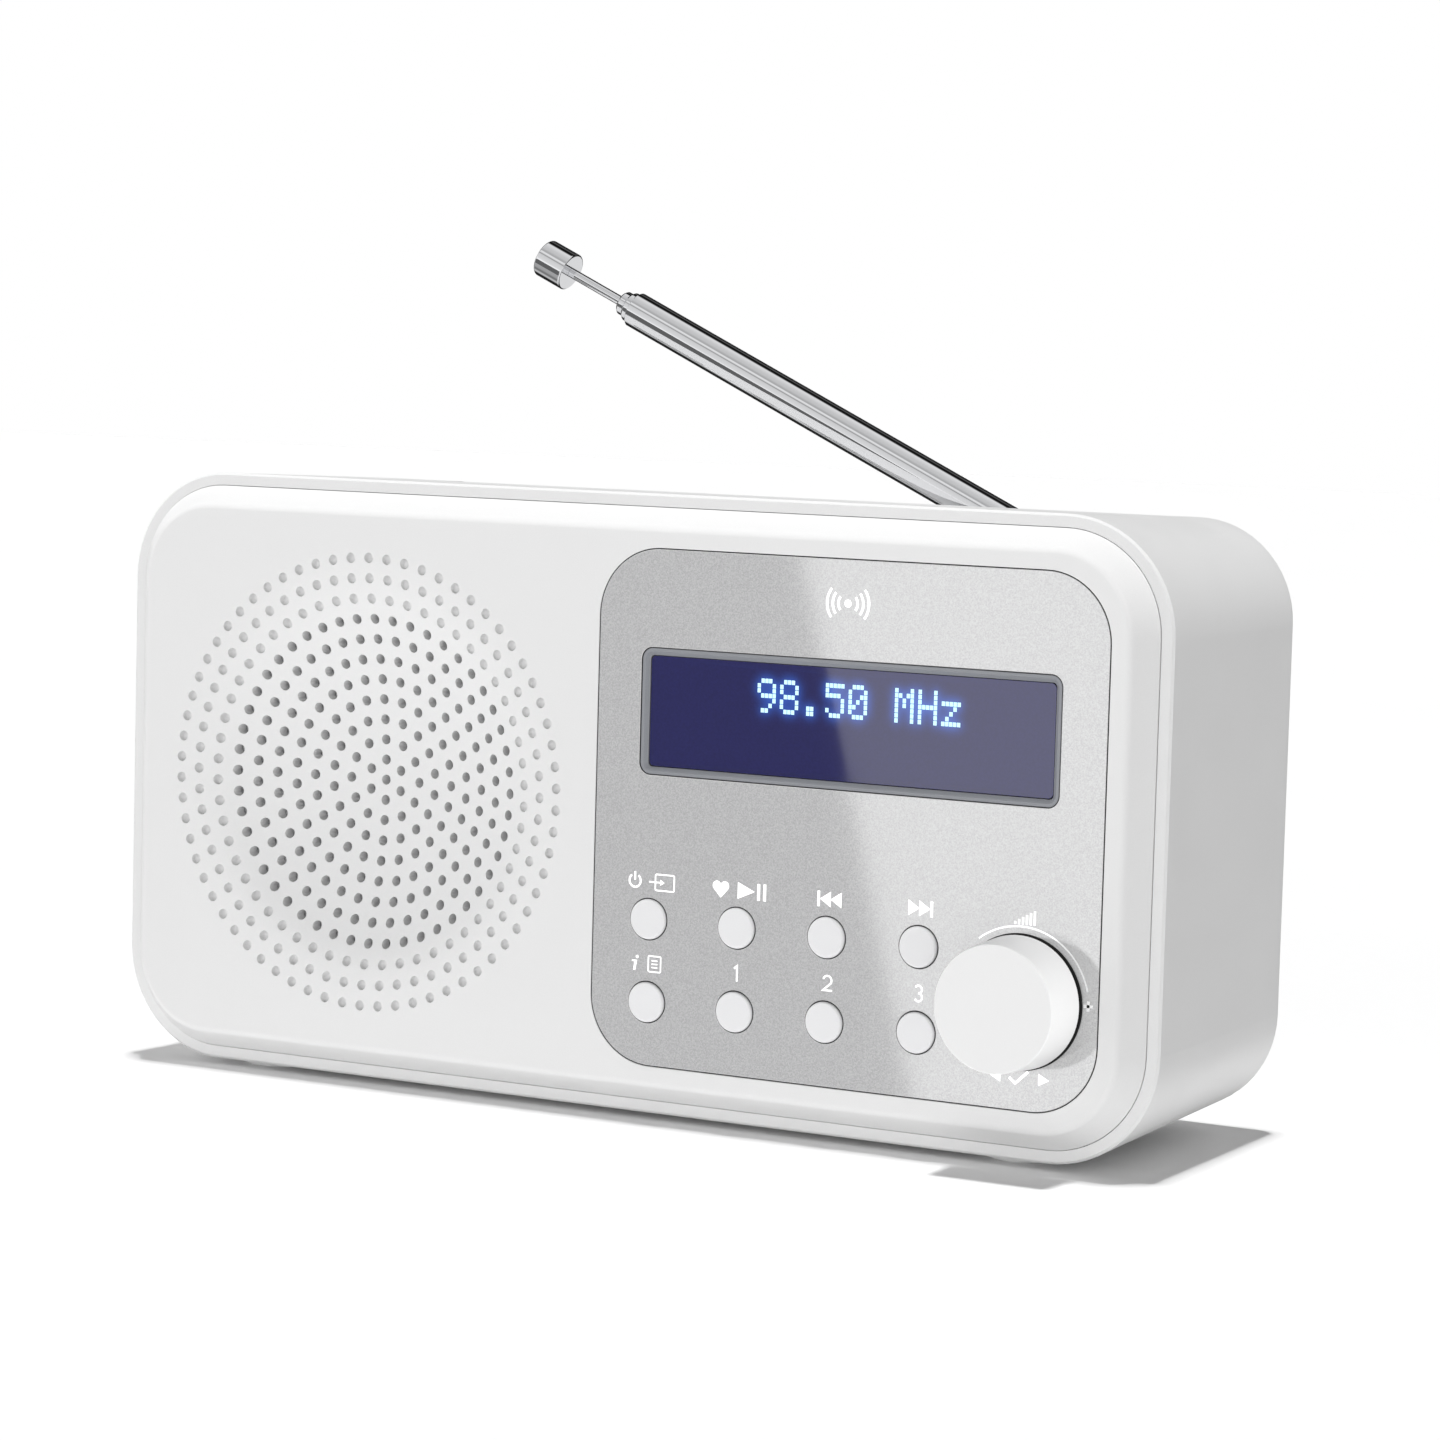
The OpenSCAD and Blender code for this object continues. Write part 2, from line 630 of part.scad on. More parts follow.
module pcb_screws() case_frame() color(steel) {
    for (x = control_screw_x, z = [-1, 1])
        screw_forward(x, z * control_screw_z, control_pcb_d + pcb_t + 0.05, 6);
    for (x = main_screw_x, z = main_screw_z)
        translate([0, 2 * main_pcb_d, 0]) mirror([0, 1, 0])
            screw_forward(x, z, main_pcb_d + 0.05, 7.4);
}

// ---------- volume and select control ----------

module encoder_body() case_frame() color(steel) {
    difference() {
        union() {
            block([knob_x - encoder_half, knob_x + encoder_half], [encoder_d0, control_pcb_d - 0.05],
                [knob_z - encoder_half, knob_z + encoder_half]);
            bar(knob_x, knob_z, bush_front_d, encoder_d0 + over, 3.5);
        }
        bar(knob_x, knob_z, bush_front_d - over, 6.6, shaft_r + running);
        bar(knob_x, knob_z, 6.5, shaft_end_d + plunger_t + knob_travel + 0.3, 4);
    }
}

module encoder_nut() case_frame() color(steel) {
    difference() {
        bar(knob_x, knob_z, -2.05, -0.05, 5.77, 6);
        bar(knob_x, knob_z, -3, 1, 3.55);
    }
}

// Plate that the shaft presses on; it slides in the encoder and closes the select switch
module select_plunger() case_frame() color([0.85, 0.83, 0.75]) {
    bar(knob_x, knob_z, shaft_end_d + 0.05, shaft_end_d + plunger_t, 3.9);
}

module encoder_shaft() case_frame() color(steel) {
    difference() {
        bar(knob_x, knob_z, -7.6, shaft_end_d, shaft_r);
        block([knob_x - 4, knob_x + 4], [-8, -4], [knob_z + 2, knob_z + 4]);
    }
    // collar that keeps the shaft in the encoder
    difference() {
        bar(knob_x, knob_z, 6.9, 7.6, 3.8);
        bar(knob_x, knob_z, 6, 8, shaft_r - 0.5);
    }
}

module volume_knob() case_frame() color(white) {
    skirt_gap = knob_travel + 0.2;
    face_edge = 0.8;
    difference() {
        turned(knob_x, knob_z, concat(
            [[0, -knob_out]],
            arc(knob_face_d / 2 - face_edge, face_edge - knob_out, face_edge, -90, 0, 4),
            [[knob_base_d / 2, -skirt_gap], [0, -skirt_gap]]
        ));
        difference() {
            bar(knob_x, knob_z, -7.2, 0, 8.4);
            bar(knob_x, knob_z, -8, -4.3, 5);
        }
        difference() {
            bar(knob_x, knob_z, -7.6, 0, shaft_r);
            block([knob_x - 4, knob_x + 4], [-8, -4.2], [knob_z + 2, knob_z + 4]);
        }
    }
}

// ---------- speaker ----------

module grille_cloth() case_frame() color([0.2, 0.2, 0.21]) {
    intersection() {
        translate([grille_x, dish_centre_d, 0]) difference() {
            sphere(r = dish_back_r + 0.45, $fn = 128);
            sphere(r = dish_back_r + 0.15, $fn = 128);
        }
        bar(grille_x, 0, panel_t, 12, 30.5);
    }
}

module speaker_gasket() case_frame() color([0.15, 0.15, 0.16]) {
    turned(grille_x, 0, [
        [30.2, speaker_flange_d - 1.55], [34.4, speaker_flange_d - 1.55],
        [34.4, speaker_flange_d - 0.05], [30.2, speaker_flange_d - 0.05]
    ]);
}

module speaker_frame() case_frame() color([0.25, 0.25, 0.27]) {
    flange_back = speaker_flange_d + speaker_flange_t;
    difference() {
        union() {
            bar(grille_x, 0, speaker_flange_d, flange_back, speaker_flange_r);
            for (a = [45:90:315])
                bar(grille_x + speaker_ear_r * cos(a), speaker_ear_r * sin(a), speaker_flange_d, flange_back, 4.2);
            turned(grille_x, 0, [[0, flange_back - 0.5], [31, flange_back - 0.5], [18.5, basket_back_d], [0, basket_back_d]]);
        }
        turned(grille_x, 0, [[0, 0], [speaker_inner_r, 0], [speaker_inner_r, flange_back - 0.5],
            [17.4, basket_back_d - 1.2], [0, basket_back_d - 1.2]]);
        bar(grille_x, 0, basket_back_d - 3, basket_back_d + over, 11);
        for (a = [45:90:315])
            bar(grille_x + speaker_ear_r * cos(a), speaker_ear_r * sin(a), 0, 20, 1.5);
        // windows between the four arms of the basket
        for (a = [0:90:270])
            translate([grille_x, 0, 0]) rotate([0, a, 0])
                block([12, 40], [flange_back + 1.5, basket_back_d - 2.4], [-13, 13]);
    }
}

module speaker_surround() case_frame() color([0.08, 0.08, 0.08]) {
    roll_r = 26.9;
    base = speaker_flange_d + speaker_flange_t;
    translate([grille_x, 0, 0]) rotate([-90, 0, 0]) rotate_extrude() difference() {
        union() {
            translate([roll_r, base - 1.2]) circle(2.3, $fn = 32);
            translate([24, base - 1.2]) square([5.4, 0.5]);
        }
        translate([roll_r, base - 1.2]) circle(1.8, $fn = 32);
        translate([roll_r - 3, base - 0.7]) square([6, 4]);
    }
}

module speaker_cone() case_frame() color([0.16, 0.16, 0.17]) {
    d0 = speaker_flange_d + speaker_flange_t - 0.6;
    turned(grille_x, 0, [[24.6, d0], [25.2, d0], [25.2, d0 + 0.4], [10, 20.9], [coil_r + 0.05, 20.9], [coil_r + 0.05, 20.2]]);
}

module dust_cap() case_frame() color([0.1, 0.1, 0.1]) {
    cap_r = 16;
    foot_r = 10.6;
    centre = 18.6 + sqrt(cap_r * cap_r - foot_r * foot_r);
    turned(grille_x, 0, concat(
        arc(0, centre, cap_r, -90, -48.5, 6),
        arc(0, centre, cap_r - 0.5, -48.5, -90, 6)
    ));
}

module voice_coil() case_frame() color([0.72, 0.45, 0.2]) {
    turned(grille_x, 0, [[coil_r - 0.4, 21], [coil_r, 21], [coil_r, 33], [coil_r - 0.4, 33]]);
}

module speaker_magnet() case_frame() color([0.3, 0.3, 0.32]) {
    difference() {
        union() {
            bar(grille_x, 0, basket_back_d + 0.05, 28, magnet_r - 1);
            bar(grille_x, 0, 28, 36.5, magnet_r);
            bar(grille_x, 0, 36.5, magnet_d1, magnet_r - 1);
        }
        difference() {
            bar(grille_x, 0, 24, 36.5, coil_r + 0.7);
            bar(grille_x, 0, 23, 37, coil_r - 1);
        }
    }
}

module speaker_screws() case_frame() color(steel) {
    for (a = [45:90:315])
        screw_forward(grille_x + speaker_ear_r * cos(a), speaker_ear_r * sin(a),
            speaker_flange_d + speaker_flange_t + 0.05, 6.5);
}

// ---------- power and sockets ----------

module batteries() case_frame() {
    for (i = [0:3]) {
        x = cell_x0 + i * cell_pitch;
        flip = i % 2;
        color([0.25, 0.27, 0.3]) translate([x, cell_axis_d, cell_z0]) cylinder(r = cell_r, h = cell_len - 1);
        color(steel) translate([x, cell_axis_d, flip == 1 ? cell_z0 - 1 : cell_z0 + cell_len - 1])
            cylinder(r = 2.6, h = 1);
    }
}

module battery_contacts() case_frame() color(steel) {
    for (i = [0:3], z = [bay_z[0] + 0.1, bay_z[1] - 0.6]) {
        x = cell_x0 + i * cell_pitch;
        block([x - 5, x + 5], [cell_axis_d - 5, cell_axis_d + 5], [z, z + 0.5]);
    }
}

// One spring for each cell's flat end
module battery_springs() case_frame() color(steel) {
    wire = 0.4;
    coils = 4;
    for (i = [0:3]) {
        flip = i % 2;
        z0 = flip == 1 ? cell_z0 + cell_len - 1 + wire : bay_z[0] + 0.6 + wire;
        z1 = flip == 1 ? bay_z[1] - 0.6 - wire : cell_z0 - wire;
        translate([cell_x0 + i * cell_pitch, cell_axis_d, 0])
            for (k = [0:coils]) translate([0, 0, z0 + (z1 - z0) * k / coils])
                rotate_extrude() translate([3.4, 0]) circle(wire, $fn = 16);
    }
}

// A round socket for a plug of 3.5 mm
module jack(x) case_frame() color(dark) {
    difference() {
        union() {
            block([x - 4, x + 4], [main_pcb_d + pcb_t + 0.05, body_d - case_wall - 0.1], [jack_z - 5, jack_z + 5]);
            bar(x, jack_z, body_d - 2 * case_wall, jack_face_d, 3.4);
        }
        bar(x, jack_z, jack_face_d - socket_len, body_d, socket_r);
    }
}

module headphone_jack() jack(phone_jack_x);
module line_in_jack() jack(line_jack_x);

// Power socket for a barrel plug, with its centre pin
module dc_jack() case_frame() color(dark) {
    difference() {
        union() {
            block([dc_jack_x - 6, dc_jack_x + 6], [main_pcb_d + pcb_t + 0.05, body_d - case_wall - 0.1],
                [jack_z - 6, jack_z + 6]);
            bar(dc_jack_x, jack_z, body_d - 2 * case_wall, jack_face_d, 4.9);
        }
        bar(dc_jack_x, jack_z, jack_face_d - 9, body_d, 2.85);
    }
    bar(dc_jack_x, jack_z, jack_face_d - 10, jack_face_d - 1, 1);
}

// ---------- aerial ----------

// Places its children at the pivot, with +X along the tube at rest
module aerial_frame() case_frame() translate([pivot_x, aerial_d, pivot_z])
    rotate([0, 180 + aerial_angle, 0]) children();

// A round bar along the tube from u0 to u1
module along_tube(u0, u1, r) translate([u0, 0, 0]) rotate([0, 90, 0]) cylinder(r = r, h = u1 - u0);

// A tube along +X with a slightly rolled open end
module tube(u0, u1, r, bore) {
    lip = 0.2;
    translate([u0, 0, 0]) rotate([0, 90, 0]) rotate_extrude() polygon([
        [bore, 0], [r, 0], [r, u1 - u0 - lip], [r - lip, u1 - u0], [bore, u1 - u0]
    ]);
}

module aerial_bush() case_frame() color(steel) {
    difference() {
        union() {
            bar(pivot_x, pivot_z, 43.6, recess_front_d, bush_r);
            bar(pivot_x, pivot_z, recess_front_d + 0.05, recess_front_d + 0.6, 5.5);
            bar(pivot_x, pivot_z, recess_front_d - 0.1, recess_front_d + 0.2, bush_r);
        }
        bar(pivot_x, pivot_z, 42, body_d, journal_r + running);
    }
}

module aerial_nut() case_frame() color(steel) {
    difference() {
        bar(pivot_x, pivot_z, 44.6, recess_front_d - recess_wall - 0.05, 6.2, 6);
        bar(pivot_x, pivot_z, 44, body_d, bush_r + 0.05);
    }
}

module aerial_swivel() aerial_frame() color(chrome) {
    disc_front = recess_front_d + 0.7 - aerial_d;
    disc_back = -tube_d / 2 - 0.25;
    difference() {
        union() {
            bar(0, 0, disc_front, disc_back, swivel_disc_r);
            bar(0, 0, 42.6 - aerial_d, disc_front + 0.1, journal_r);
            for (s = [-1, 1]) translate([0, 0, s * (tongue_t / 2 + gap + ear_t / 2) - ear_t / 2]) {
                cylinder(r = ear_r, h = ear_t);
                translate([-ear_r, disc_back - 0.1, 0]) cube([2 * ear_r, -disc_back + 0.1, ear_t]);
            }
        }
        translate([0, 0, -8]) cylinder(r = pin_r, h = 16);
    }
    // head that keeps the journal in its bush
    bar(0, 0, 41.8 - aerial_d, 43.4 - aerial_d, 3.2);
}

module aerial_hinge_pin() aerial_frame() color(steel) {
    half = tongue_t / 2 + gap + ear_t;
    translate([0, 0, -half]) cylinder(r = pin_r, h = 2 * half);
}

module aerial_tube() aerial_frame() color(chrome) {
    bore = tube_d / 2 - tube_wall;
    difference() {
        union() {
            translate([0, 0, -tongue_t / 2]) cylinder(r = tongue_r, h = tongue_t);
            translate([0, -2.2, -tongue_t / 2]) cube([neck_end + 0.5, 4.4, tongue_t]);
        }
        translate([0, 0, -8]) cylinder(r = pin_r + running, h = 16);
    }
    along_tube(neck_end, 10, tube_d / 2);
    tube(10, tube_end, tube_d / 2, bore);
}

module aerial_section_2() aerial_frame() color(chrome)
    tube(12, section_2_end, section_2_r, section_2_r - tube_wall);

module aerial_section_3() aerial_frame() color(chrome) {
    tube(14, section_3_end - 1.5, section_3_r, section_3_r - tube_wall);
    tube(section_3_end - 1.5, section_3_end, section_3_r, rod_d / 2 + gap);
}

module aerial_rod() aerial_frame() color(chrome) {
    along_tube(rod_start, tip_start, rod_d / 2);
    along_tube(rod_start, rod_start + 3, section_3_r - tube_wall - section_gap);
}

module aerial_tip() aerial_frame() color(chrome) {
    edge = 0.4;
    translate([tip_start, 0, 0]) rotate([0, 90, 0]) rotate_extrude() polygon(concat(
        [[0, 0], [tip_r - 0.05, 0]],
        arc(tip_r - edge, tip_len - edge, edge, 0, 90, 4),
        [[0, tip_len]]
    ));
}

// ---------- leads held inside the case ----------

module speaker_leads() case_frame() {
    color([0.7, 0.1, 0.1]) lead(speaker_lead_route, lead_r);
    color(dark) translate([0, 0, -2]) lead(speaker_lead_route, lead_r);
}

module battery_leads() case_frame() {
    color([0.7, 0.1, 0.1]) lead(battery_lead_route, lead_r);
    color(dark) translate([0, 0, -2]) lead(battery_lead_route, lead_r);
}

module aerial_lead() case_frame() color(dark) lead(aerial_lead_route, lead_r);

// ---------- one node at a time, or all of them ----------

front_panel();
rear_case();
control_plate();
display_bezel();
display_lens();
lcd_glass();
lcd_backlight();
grille_cloth();
speaker_gasket();
speaker_frame();
speaker_surround();
speaker_cone();
dust_cap();
voice_coil();
speaker_magnet();
speaker_screws();
key(0, 0);  // key_power
key(1, 0);  // key_play
key(2, 0);  // key_previous
key(3, 0);  // key_next
key(0, 1);  // key_info
key(1, 1);  // key_preset_1
key(2, 1);  // key_preset_2
key(3, 1);  // key_preset_3
tact_switches();
control_pcb();
encoder_body();
encoder_nut();
select_plunger();
encoder_shaft();
volume_knob();
main_pcb();
tuner_shield();
pcb_chips();
ribbon_cable();
pcb_screws();
case_screws();
battery_door();
batteries();
battery_contacts();
battery_springs();
dc_jack();
headphone_jack();
line_in_jack();
aerial_bush();
aerial_nut();
aerial_swivel();
aerial_hinge_pin();
aerial_tube();
aerial_section_2();
aerial_section_3();
aerial_rod();
aerial_tip();
feet();
speaker_leads();
battery_leads();
aerial_lead();
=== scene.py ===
# Looks of the tabletop radio: fine meshes, materials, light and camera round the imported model.
# Lengths are millimetres in the case's own frame: x to the right, d the depth behind the front
# face and z up from the middle of the case. CASE turns them into the model's frame.

import json
import math

import bpy
from mathutils import Matrix, Vector
from mathutils.geometry import delaunay_2d_cdt


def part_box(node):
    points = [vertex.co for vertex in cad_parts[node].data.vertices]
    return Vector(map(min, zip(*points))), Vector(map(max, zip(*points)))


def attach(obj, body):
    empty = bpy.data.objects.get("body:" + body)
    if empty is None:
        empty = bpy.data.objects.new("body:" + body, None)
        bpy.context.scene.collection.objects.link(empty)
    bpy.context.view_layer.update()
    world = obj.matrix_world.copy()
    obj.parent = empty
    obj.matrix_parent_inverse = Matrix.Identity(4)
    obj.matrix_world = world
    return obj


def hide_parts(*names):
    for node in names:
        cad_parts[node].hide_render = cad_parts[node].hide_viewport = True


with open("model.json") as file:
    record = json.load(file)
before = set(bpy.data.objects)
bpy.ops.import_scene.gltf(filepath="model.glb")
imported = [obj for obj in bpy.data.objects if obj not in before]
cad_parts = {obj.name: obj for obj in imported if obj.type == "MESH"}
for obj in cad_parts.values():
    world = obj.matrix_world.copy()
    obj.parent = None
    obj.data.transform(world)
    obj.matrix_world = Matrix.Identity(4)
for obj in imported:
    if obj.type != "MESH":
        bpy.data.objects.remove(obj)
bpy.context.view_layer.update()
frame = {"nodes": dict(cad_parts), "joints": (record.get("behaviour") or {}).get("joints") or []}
NODES = frame["nodes"]
JOINTS = {joint["name"]: joint for joint in frame["joints"]}
MM = 0.001

FACE_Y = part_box("front_panel")[0].y
CASE_Z = (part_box("rear_case")[0].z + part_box("rear_case")[1].z) / 2
CASE = Matrix.Translation((0, FACE_Y, CASE_Z)) @ Matrix.Scale(MM, 4)


def box_of(node):
    """A CAD node's lowest and highest corners as Vectors of (x, d, z)."""
    back = CASE.inverted()
    return tuple(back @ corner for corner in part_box(node))


# ---------- sizes, from the frame where it has them ----------

CORNER_R = 18.5
CORNER_X = box_of("rear_case")[1].x - CORNER_R
CORNER_Z = box_of("rear_case")[1].z - CORNER_R

SEAM_R = box_of("front_panel")[1].x - CORNER_X
FACE_R = SEAM_R - 3.15
CHAMFER_D = 4.1
SKIRT_D = 9.2
SKIRT_T = 1.8
PANEL_T = 2.6

PLATE_LOW, PLATE_HIGH = box_of("control_plate")
PLATE_R = 11
HAIRLINE = 0.15
# Black rings of painted shade in the hairline gaps: how far behind the face they start, and how far they
# keep off the walls
SHADE_RING_D = 0.05
SHADE_RING_SPARE = 0.01
SEAT_D = PLATE_HIGH.y + 0.05
SEAT_ROOM = 0.1

GRILLE_X = -46.5
HOLE_PITCH = 3.42
HOLE_R = 0.85
HOLE_RINGS = 11
OPEN_RINGS = 8
HOLE_RIM = 0.06
HOLE_SIDES = 20
DIMPLE_D = 1.1

DISH_SPHERE_R = 87
DISH_BLEND_R = 28.7
DISH_EDGE_ROUND = 33
DISH_WALL = 2.2
DISH_EDGE_POINTS = 120

BEZEL_LOW, BEZEL_HIGH = box_of("display_bezel")
LENS_LOW, LENS_HIGH = box_of("display_lens")
BEZEL_R = 1.9
BEZEL_W = 1.2
BEZEL_ROOM = 0.1

KEY_R = 3.28
KEY_HOLE_R = 3.45
KEY_PUSHER_R = 1.5
KEYS = [
    "key_power", "key_play", "key_previous", "key_next",
    "key_info", "key_preset_1", "key_preset_2", "key_preset_3",
]
SHAFT_HOLE_R = 3.7
KNOB_LOW, KNOB_HIGH = box_of("volume_knob")
KNOB_X = (KNOB_LOW.x + KNOB_HIGH.x) / 2
KNOB_Z = (KNOB_LOW.z + KNOB_HIGH.z) / 2


# ---------- mesh building ----------


class Shape:
    """A mesh under construction, with the true normal of each point."""

    def __init__(self):
        self.points = []
        self.normals = []
        self.faces = []

    def ring(self, points, normals):
        first = len(self.points)
        self.points += points
        self.normals += normals
        return range(first, len(self.points))

    def bridge(self, a, b):
        """Faces between two rings. Either may be a single point."""
        count = max(len(a), len(b))
        for k in range(count):
            m = (k + 1) % count
            if len(a) == 1:
                self.faces.append((a[0], b[k], b[m]))
            elif len(b) == 1:
                self.faces.append((a[k], b[0], a[m]))
            else:
                self.faces.append((a[k], b[k], b[m], a[m]))

    def sweep(self, outline, profile, closed=False):
        """Carries a profile of (radius, d, normal r, normal d) round an outline and returns its rings."""
        rings = []
        for r, d, nr, nd in profile:
            way = outline(r) if r > 1e-6 else [(*outline(0)[0][:2], 0, 0)]
            points = [(x, d, z) for x, z, _, _ in way]
            normals = [(nr * nx, nd, nr * nz) for _, _, nx, nz in way]
            rings.append(self.ring(points, normals))
        for a, b in zip(rings, rings[1:] + rings[:1] if closed else rings[1:]):
            self.bridge(a, b)
        return rings

    def surface(self, loops, depth, extra=(), backward=False):
        """Fills between loops, the first outside and the rest round holes, through extra points.

        depth(x, z) gives a surface point's d and normal.
        """
        inner = [(x, z, *depth(x, z)) for x, z in extra]
        added = self.ring([(x, d, z) for x, z, d, _ in inner], [n for _, _, _, n in inner])
        index = [i for loop in loops for i in loop] + list(added)
        owner = [n for n, loop in enumerate(loops) for _ in loop] + [0] * len(added)
        edges = []
        first = 0
        for loop in loops:
            edges += [(first + k, first + (k + 1) % len(loop)) for k in range(len(loop))]
            first += len(loop)
        flat = [Vector((self.points[i][0], self.points[i][2])) for i in index]
        _, _, faces, source, _, _ = delaunay_2d_cdt(flat, edges, [], 0, 1e-6)
        for face in faces:
            corners = [source[v][0] for v in face]
            holders = {owner[c] for c in corners}
            if len(holders) == 1 and holders != {0}:
                continue  # inside a hole
            way = [index[c] for c in corners]
            self.faces.append(tuple(reversed(way)) if backward else tuple(way))

    def build(self, name, body, material, replaces=(), place=CASE):
        mesh = bpy.data.meshes.new(name)
        mesh.from_pydata([place @ Vector(p) for p in self.points], [], self.faces)
        mesh.materials.append(material)
        mesh.shade_smooth()
        turn = place.to_3x3().normalized()
        mesh.normals_split_custom_set_from_vertices([(turn @ Vector(n)).normalized() for n in self.normals])
        return finish_piece(bpy.data.objects.new(name, mesh), body, replaces)


def finish_piece(obj, body, replaces=()):
    bpy.context.scene.collection.objects.link(obj)
    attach(obj, body)
    if replaces:
        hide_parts(*replaces)
    return obj


def rounded(corners, steps=4):
    """A profile of (r, d, fillet radius) corners as (r, d, normal r, normal d) points.

    The normals point to the left of a walk seen with r to the right and d up, which is outward
    along a front face walked away from the axis.
    """
    profile = []
    last = len(corners) - 1
    for i, (r, d, fillet) in enumerate(corners):
        here = Vector((r, d))
        into = (here - Vector(corners[i - 1][:2])).normalized() if i > 0 else None
        out = (Vector(corners[i + 1][:2]) - here).normalized() if i < last else None
        into, out = into or out, out or into
        turn = math.atan2(into.x * out.y - into.y * out.x, into.dot(out))
        if abs(turn) < 1e-6:
            profile.append((r, d, into.y, -into.x))
            continue
        side = math.copysign(1, turn)
        start = here - into * fillet * math.tan(abs(turn) / 2)
        centre = start - side * fillet * Vector((into.y, -into.x))
        for k in range(steps + 1):
            angle = math.atan2(-into.x, into.y) + turn * k / steps
            normal = Vector((math.cos(angle), math.sin(angle)))
            profile.append((*(centre + side * fillet * normal), *normal))
    return profile


def block_outline(half_x, half_z, centre=(0, 0), steps=16):
    """An outline of a rounded block whose corner centres lie half_x and half_z from its centre."""

    def outline(radius):
        way = []
        for corner, (sx, sz) in enumerate(((1, 1), (-1, 1), (-1, -1), (1, -1))):
            for k in range(steps + 1):
                a = math.radians(90 * (corner + k / steps))
                c, s = math.cos(a), math.sin(a)
                x = centre[0] + sx * half_x + radius * c
                z = centre[1] + sz * half_z + radius * s
                way.append((x, z, c, s))
        return way

    return outline


def compass(count):
    """Unit vectors evenly round a circle."""
    return [(math.cos(math.tau * k / count), math.sin(math.tau * k / count)) for k in range(count)]


def round_outline(x, z, sides=96):
    """A circular outline."""
    return lambda radius: [(x + radius * c, z + radius * s, c, s) for c, s in compass(sides)]


def outline_of_box(low, high, radius, steps=16):
    """The outline of a rounded rectangle that reaches low and high at that corner radius."""
    half_x = (high.x - low.x) / 2 - radius
    half_z = (high.z - low.z) / 2 - radius
    return block_outline(half_x, half_z, ((low.x + high.x) / 2, (low.z + high.z) / 2), steps)


def window(shape, outline, radius, front, back, fillet=0.12):
    """Walls a hole from back to front with a rounded rim; returns its loops on the two surfaces."""
    wall = rounded([(radius, back, 0), (radius, front, fillet), (radius + 1, front, 0)])[:-1]
    rings = shape.sweep(outline, wall)
    return rings[-1], rings[0]


def flat(depth, facing=-1):
    """A flat surface for Shape.surface."""
    return lambda x, z: (depth, (0, facing, 0))


# ---------- materials ----------

# How much broader the patches of roughness are than the grain
BROAD_GRAIN = 40


def soft_noise(tree, size, detail=2.0):
    """Noise of a given feature size in millimetres, on the piece's own coordinates."""
    place = tree.nodes.new("ShaderNodeTexCoord")
    noise = tree.nodes.new("ShaderNodeTexNoise")
    noise.inputs["Scale"].default_value = 1 / (size * MM)
    noise.inputs["Detail"].default_value = detail
    tree.links.new(place.outputs["Object"], noise.inputs["Vector"])
    return noise.outputs["Fac"]


def spread(tree, value, low, high):
    """Maps a noise value from its usual range to low..high."""
    node = tree.nodes.new("ShaderNodeMapRange")
    for name, number in (("From Min", 0.3), ("From Max", 0.7), ("To Min", low), ("To Max", high)):
        node.inputs[name].default_value = number
    tree.links.new(value, node.inputs["Value"])
    return node.outputs["Result"]


def two_tone(tree, value, colour, contrast):
    """A colour that varies by contrast round its mean as value goes from 0 to 1."""
    mix = tree.nodes.new("ShaderNodeMix")
    mix.data_type = "RGBA"
    mix.inputs["A"].default_value = (*(c * (1 - contrast) for c in colour), 1)
    mix.inputs["B"].default_value = (*(min(1, c * (1 + contrast)) for c in colour), 1)
    tree.links.new(value, mix.inputs["Factor"])
    return mix.outputs["Result"]


def material(
    name, colour, rough, grain=0.5, contrast=0.02, rough_spread=0.04, bump=0.1, relief=0.01, **fixed
):
    """A Principled material whose colour, roughness and relief vary with noise of grain millimetres.

    relief is the height of the bumps in millimetres. fixed sets the shader's other sockets.
    """
    made = bpy.data.materials.new(name)
    made.use_nodes = True
    tree = made.node_tree
    shader = tree.nodes["Principled BSDF"]
    for key, value in fixed.items():
        shader.inputs[key.replace("_", " ")].default_value = value
    fine = soft_noise(tree, grain)
    broad = soft_noise(tree, grain * BROAD_GRAIN)
    tint = two_tone(tree, spread(tree, fine, 0, 1), colour, contrast)
    sheen = spread(tree, broad, rough - rough_spread, rough + rough_spread)
    tree.links.new(tint, shader.inputs["Base Color"])
    tree.links.new(sheen, shader.inputs["Roughness"])
    if bump:
        relief_node = tree.nodes.new("ShaderNodeBump")
        relief_node.inputs["Strength"].default_value = bump
        relief_node.inputs["Distance"].default_value = relief * MM
        tree.links.new(fine, relief_node.inputs["Height"])
        tree.links.new(relief_node.outputs["Normal"], shader.inputs["Normal"])
    return made


